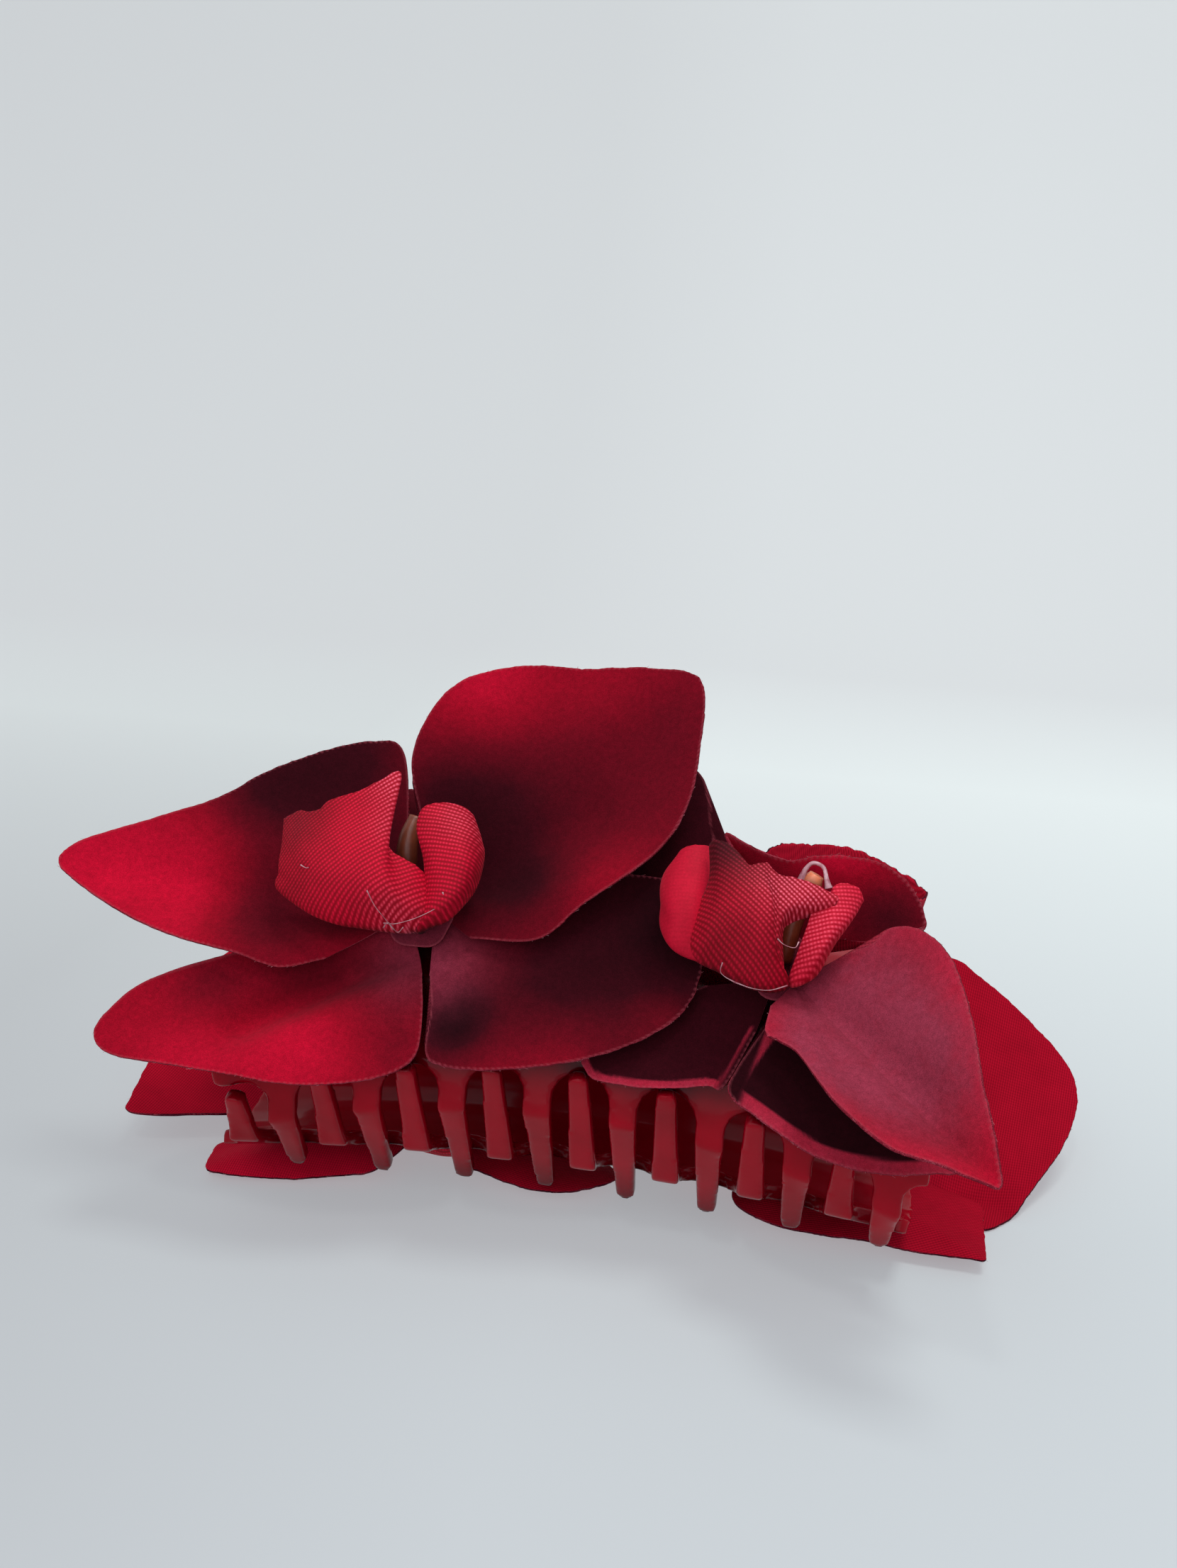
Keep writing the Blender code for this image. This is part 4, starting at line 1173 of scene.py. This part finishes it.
# A lip is made of sheets, each from columns of control points that run from the heart to the rim.
LEFT_LIP = (
    dict(columns=(
        ((-3, 1, 3), (-19, 2, 4.5), (-21, 4, 6), (-22, 8, 7.5), (-22, 12, 8.5)),
        ((-3, 0, 3), (-20.5, 0, 6), (-21.5, 2.5, 8.5), (-21.5, 6.5, 10), (-22, 10.5, 10.5)),
        ((-3, -1, 3), (-15.5, -3, 6.5), (-16.5, -0.5, 11), (-18, 4.5, 13), (-19, 11, 13)),
        ((-2.5, -2, 3), (-12, -4, 6.5), (-12.5, -1, 13), (-13.5, 3.5, 15.5), (-15.5, 10.5, 15)),
        ((-2, -2.5, 3), (-9, -4, 6.5), (-9, -1, 14), (-10, 4, 16.5), (-13.5, 12, 16)),
        ((-1.5, -3, 3), (-6.5, -4, 6.5), (-6, -1, 14.5), (-7.5, 4.5, 17), (-9, 13.5, 17)),
        ((-1, -3, 3), (-4, -4, 6.5), (-4, -1, 14.5), (-5, 5.5, 17), (-5.5, 15.5, 18)),
        ((-0.7, -3, 3), (-3, -4, 6.5), (-2.5, -1, 14), (-3.5, 4.5, 16.5), (-3, 16.5, 18)),
        ((-0.3, -3, 3), (-2, -4, 6.5), (-1.5, -1.5, 13), (-2.5, 2.5, 15), (-4.5, 9, 15.5)),
        ((0, -3, 3), (-1, -4, 6.5), (-0.5, -2, 11.5), (-1, 1, 13.5), (-3, 5.5, 14.5)),
        ((0.3, -3, 3), (0, -3.5, 6.5), (1, -2, 10.5), (1, 1, 12), (0, 4.5, 13)),
        ((0.6, -3, 3), (1, -3.5, 6.5), (2.5, -1.5, 9.5), (2.5, 1, 10.5), (2, 3.5, 11)),
    ), tone=0.92, angle=38, tones=((150, 22, 7, -0.3), (190, 20, 6, -0.15)),
        dust_and_glint=((100, 16, 4, 0.9), (255, 5, 4, 0.5), (112, 9, 3, 0.35))),
    dict(columns=(
        ((0.6, -3, 3), (1, -3.5, 6.5), (2.5, -1.5, 9.5), (2.5, 1, 10.5), (2, 3.5, 11)),
        ((1, -3, 3), (2, -3, 6.5), (4, -1.5, 10.5), (3.5, 2, 12), (1.5, 6, 12.5)),
        ((1.5, -2.5, 3), (4, -2, 6.5), (6.5, 0, 12), (4.5, 5, 14), (0, 10, 14)),
        ((2, -2, 3), (6, -1, 6.5), (8.5, 2.5, 12.5), (7, 7.5, 15), (1, 13, 15)),
        ((2.5, -1.5, 3), (7.5, 1.5, 6), (9.5, 5.5, 11), (8.5, 9.5, 13.5), (5, 14, 14.5)),
        ((3, -1, 3), (8, 3.5, 5), (9.5, 8, 8), (9, 10.5, 10), (7.5, 13.5, 12)),
        ((3, 0, 3), (6.5, 5, 4), (8, 8.5, 5.5), (8, 11, 7), (7, 13, 9)),
    ), tone=0.9, angle=-6, dust_and_glint=((60, 14, 4, 0.45),), scallop=0.1),
)
RIGHT_LIP = (
    dict(columns=(
        ((-3, 0, 3), (-17, 1.5, 5), (-14, 4, 10), (-12, 8.5, 12.5), (-12.5, 14, 13)),
        ((-3, -1, 3), (-13, -1.5, 6), (-11.5, 1, 13), (-10.5, 6.5, 15.5), (-11.5, 14, 15)),
        ((-2.5, -2, 3), (-10, -2.5, 6), (-8.5, 1, 14.5), (-8.5, 6.5, 17), (-9.5, 13, 16)),
        ((-2, -2.5, 3), (-6.5, -4, 6), (-6, 0.5, 15), (-6, 5.5, 17.5), (-7.5, 11, 16.5)),
        ((-1.5, -3, 3), (-4, -4.5, 6), (-4, 0, 15), (-4.5, 5, 17.5), (-6.5, 10, 16.5)),
        ((-1, -3, 3), (-1.5, -4.5, 6), (-2.5, 0, 14.5), (-3, 5, 17), (-5, 10.5, 16)),
        ((-0.5, -3, 3), (0.5, -3.5, 6), (-1.5, -1.5, 11.5), (-2.5, 4, 16), (-4, 11, 15.5)),
        ((0, -4, 6), (-1, -1.5, 11), (-2, 1.5, 14), (-2, 5, 15.5), (-3, 10, 15.5)),
        ((-1, 2, 11), (-1.5, 1.5, 13), (-1.5, 3.5, 15), (-1.5, 6, 15.5), (-2, 9.5, 15)),
        ((0, 4, 11), (-0.5, 4, 13), (0, 5, 15), (0, 7, 15), (0, 9.5, 14.5)),
        ((3, 5.5, 11), (2.5, 5.5, 13), (3, 6, 14), (3, 7.5, 14.5), (3, 9, 14)),
        ((6.5, 7, 11), (6, 6.5, 13), (6.3, 7, 13.5), (6.4, 7.4, 13.5), (6, 8, 13)),
    ), tone=0.84, angle=-38, tones=((128, 17, 6, -0.5), (200, 12, 7, -0.1)),
        dust_and_glint=((75, 8, 5, 0.8), (105, 8, 4, 0.4))),
    dict(columns=(
        ((-3, 1, 3), (-15, 1.5, 4), (-17, 5.5, 5), (-17, 12, 6), (-15, 14.5, 7)),
        ((-3, 0, 3), (-17, 1.5, 5.5), (-19, 6.5, 7.5), (-19, 10, 9), (-17, 13.5, 9.5)),
        ((-3, -0.5, 3), (-15.5, -1, 7), (-17, 3, 10.5), (-17, 9.5, 11.5), (-16, 14, 11)),
        ((-2.5, -1, 3), (-12.5, -1.5, 7), (-14, 3.5, 11.5), (-14, 10, 12), (-14, 14.5, 11)),
        ((-2, -1, 3), (-10.5, -0.5, 6), (-11.5, 4.5, 10), (-11.5, 11, 10.5), (-12, 15, 9.5)),
    ), tone=0.84, ribs=0.1, scallop=0.1),
    dict(columns=(
        ((0.5, -3, 3), (0.5, -3, 6), (1.5, 0, 9.5), (2.5, 3.5, 11.5), (3, 6, 12)),
        ((1, -3, 3), (1.5, -3.5, 6.5), (3, -0.5, 10.5), (4.5, 3.5, 12.5), (5, 8.5, 12.5)),
        ((1.5, -2.5, 3), (3, -3, 6.5), (4.5, -0.5, 11), (6, 3.5, 13), (6.5, 10, 13)),
        ((2, -2, 3), (4.5, -1.5, 6), (6, 1.5, 10), (8, 5, 12), (9, 10, 12)),
        ((2.5, -1, 3), (5, 1, 5), (7, 3.5, 8), (9, 6.5, 10), (10, 9, 10.5)),
        ((2.5, 0, 3), (4.5, 2, 3.5), (6.5, 4.5, 5.5), (8.5, 7.5, 7), (10, 9.5, 8)),
    ), tone=1.0, angle=12, ribs=0.8, dust_and_glint=((40, 6, 7, 0.5),), scallop=0.1),
)


def upper_place(design):
    centre = Matrix.Translation(Vector(design["centre"]) * MM)
    return TO_CLIP @ centre @ Matrix.Rotation(math.radians(UPPER_TILT), 4, "X")


def lower_place(design):
    offset = Vector((design["x"], LOWER_HEART_BACK, 0.0)) * MM
    return Matrix.Translation((HINGE.x + offset.x, HINGE.y + offset.y, LOWER_HEART_HEIGHT * MM))


def make_upper_orchids():
    left, right = upper_place(UPPER_LEFT), upper_place(UPPER_RIGHT)
    make_lobes("upper_left", UPPER_LEFT["lobes"], left, UPPER, False)
    make_lobes("upper_right", UPPER_RIGHT["lobes"], right, UPPER, False)
    make_lip("upper_left", LEFT_LIP, left, UPPER)
    make_lip("upper_right", RIGHT_LIP, right, UPPER)
    make_column("upper_left", ((-0.5, 0, 3.4), (-2, 4.5, 7), (-2.2, 9, 9.6), (-1.5, 13, 10.5)),
                (1.4, 1.7, 1.7, 1.5, 1.1), left, UPPER, BROWN_COLUMN)
    make_column("upper_right",
                ((-0.5, 1, 3.4), (0.5, 6, 8.0), (2.4, 9.8, 11.5), (3.2, 11.2, 12.4)),
                (1.4, 1.6, 1.6, 1.5, 1.1), right, UPPER, ORANGE_COLUMN)
    for flower, place in (("upper_left", left), ("upper_right", right)):
        make_heart(flower, place, UPPER)
        level = place @ Matrix.Rotation(math.radians(-UPPER_TILT), 4, "X")
        level = level @ Matrix.Translation((0.0, 1.2 * MM, 0.0))
        make_glue_pad(flower, 3.8, -3.7, -2.2, level, UPPER)
    threads("upper_left_glue_threads", (
        ((5.5, 0.5, 12.6), (6, -0.5, 11.6), (4.5, -1.5, 10.8), (1.5, -3, 9.8), (-1.5, -4, 9.2),
         (-3.5, -4, 8.8)),
        ((-5, -1.5, 15.5), (-4, -3, 13.5), (-3, -3.8, 10.8), (-2, -4.6, 8)),
        ((-3.5, -4.6, 8.4), (-2.5, -4.2, 10), (-1.5, -4.8, 7.6), (-0.5, -4.2, 8.4)),
        ((-16.5, 2, 13.8), (-15.5, 1.5, 14.2), (-15, 1.5, 14.4)),
    ), left)
    threads("upper_right_glue_threads", (
        ((-1.5, 0.5, 13.6), (-0.5, 0, 12.8), (1, 0, 12), (1.5, 1, 11.8)),
        ((-9, -2.5, 9.4), (-9.2, -3.5, 8.4), (-8.5, -4, 7.6), (-7, -4.6, 7.4)),
        ((-7, -4.6, 7.4), (-4.5, -5.2, 7.4), (-2, -5.2, 7.4), (0.5, -4.2, 7.4)),
    ), right)
    threads("upper_right_column_hood", (
        ((1, 10, 12.4), (1.5, 11.5, 13.2), (2.5, 12.5, 13.6), (4, 12, 13.6), (4.6, 10.2, 13.6),
         (5, 9, 13.2)),
    ), right, 0.4)


def make_lower_orchids():
    for flower, design in (("lower_left", LOWER_LEFT), ("lower_right", LOWER_RIGHT)):
        place = lower_place(design)
        floor = -LOWER_HEART_HEIGHT
        lobes = {part: {**LOWER_LOOK, **shape, "lowest": floor + 0.5}
                 for part, shape in design["lobes"].items()}
        make_lobes(flower, lobes, place, LOWER, True)
        pressed_lip(flower, floor, place, LOWER)
        peg = floor + 1.9
        make_column(flower, ((-3.5, 0, peg), (0, 0.5, peg + 0.4), (3.5, 0, peg)),
                    (0.9, 1.1, 1.0), place, LOWER, ORANGE_COLUMN)
        make_glue_pad(flower, 4.0, 1.2, 2.4, place, LOWER)


# ---- stage, lights and camera -------------------------------------------------------------------
WARM, COOL = (1.0, 0.98, 0.96), (0.97, 0.98, 1.0)
LIGHT_TARGET = (0.0, 0.0, 0.03)
LIGHTS = (                  # name, watts, size and place in metres, colour
    ("window", 5.0, 0.3, (0.22, -0.05, 1.15), WARM),
    ("glint", 0.8, 0.07, (-0.08, -0.40, 0.85), WARM),
    ("front_fill", 9.0, 1.8, (-0.35, -1.00, 0.70), COOL),
)
LENS, SENSOR = 32.55, 36.0
HEADING, ELEVATION, ROLL = 8.914, -16.213, 2.802
CAMERA_PLACE = (32.0, -231.93, 93.95)       # from the hinge's middle


def make_stage():
    """A pale table that sweeps up into a pale wall, with painted light: darker near the camera and
    to the left, lightest low on the wall, and a faint glow that lifts the shadows.
    """
    nodes = Nodes("backdrop")
    split = nodes.new("ShaderNodeSeparateXYZ", Vector=nodes.place()).outputs
    # Painted light and shade along the sweep: darker near the camera, lightest low on the wall.
    far = nodes.add(nodes.add(split["Y"], split["Z"]), 0.15)
    far = nodes.maths("DIVIDE", far, 0.6, clamp=True)
    colour = nodes.ramp(far, (0.0, (0.235, 0.27, 0.28)), (0.25, (0.25, 0.295, 0.30)),
                        (0.7, (0.42, 0.475, 0.455)), (1.0, (0.37, 0.40, 0.39)))
    # Painted shadow towards the left and a little extra light towards the right, strongest near
    # the front.
    right = nodes.maths("DIVIDE", nodes.add(split["X"], 0.13), 0.26, clamp=True)
    falloff = nodes.ramp(right, (0.0, (0.46,) * 3), (0.5, (1.0,) * 3), (1.0, (1.12,) * 3))
    colour = nodes.mix(nodes.maths("SUBTRACT", 1.0, nodes.times(far, 0.8)),
                       colour, nodes.mix(1.0, colour, falloff, "MULTIPLY"))
    grain = nodes.noise(40.0, 4.0)
    # The faint emission is a painted glow that lifts the shadows on the table.
    backdrop_with_painted_light = nodes.shade(Base_Color=colour, Roughness=0.75, Specular_IOR_Level=0.2,
                        Emission_Color=(0.97, 0.95, 1.0, 1.0), Emission_Strength=0.33,
                        Normal=nodes.bump(grain, 0.2, 0.05))
    angles = np.radians(np.linspace(-90, 0, 24))
    radius, start, top = 0.35, 0.45, 2.2
    profile = [(-1.6, 0.0), (0.0, 0.0)]
    profile += [(start + radius * math.cos(a), radius + radius * math.sin(a)) for a in angles]
    profile.append((start + radius, top))
    points = np.array([[(x, y, z) for x in np.linspace(-2.5, 2.5, 3)] for y, z in profile])
    mesh = grid_mesh("backdrop", points / MM, Matrix.Identity(4), [backdrop_with_painted_light])
    mesh.shade_smooth()
    backdrop = bpy.data.objects.new("backdrop", mesh)
    bpy.context.scene.collection.objects.link(backdrop)


def make_lights():
    world = bpy.data.worlds.new("soft_room")
    world.use_nodes = True
    sky = world.node_tree.nodes["Background"].inputs
    sky["Color"].default_value = (0.86, 0.93, 1.0, 1.0)
    sky["Strength"].default_value = 0.62
    bpy.context.scene.world = world
    for name, power, size, location, colour in LIGHTS:
        data = bpy.data.lights.new(name, "AREA")
        data.energy = power
        data.size = size
        data.color = colour
        light = bpy.data.objects.new(name, data)
        light.location = location
        aim = Vector(LIGHT_TARGET) - Vector(location)
        light.rotation_euler = aim.to_track_quat("-Z", "Y").to_euler()
        bpy.context.scene.collection.objects.link(light)


def make_camera():
    """The camera stands in front of the clip, a little to its right, looking down."""
    data = bpy.data.cameras.new("camera")
    data.lens = LENS
    data.sensor_width = SENSOR
    camera = bpy.data.objects.new("camera", data)
    turn = Matrix.Rotation(math.radians(HEADING), 4, "Z")
    turn = turn @ Matrix.Rotation(math.radians(90.0 + ELEVATION), 4, "X")
    turn = turn @ Matrix.Rotation(math.radians(ROLL), 4, "Z")
    place = HINGE + Vector(CAMERA_PLACE) * MM
    camera.matrix_world = Matrix.Translation(place) @ turn
    bpy.context.scene.collection.objects.link(camera)
    bpy.context.scene.camera = camera


def main():
    make_jaw("upper_jaw", TO_CLIP, UPPER)
    make_jaw("lower_jaw", TO_CLIP @ Matrix.Rotation(math.pi, 4, "Y"), LOWER)
    make_pin()
    make_spring()
    make_upper_orchids()
    make_lower_orchids()
    make_stage()
    make_lights()
    make_camera()
    bpy.context.scene.view_settings.view_transform = "Standard"


main()
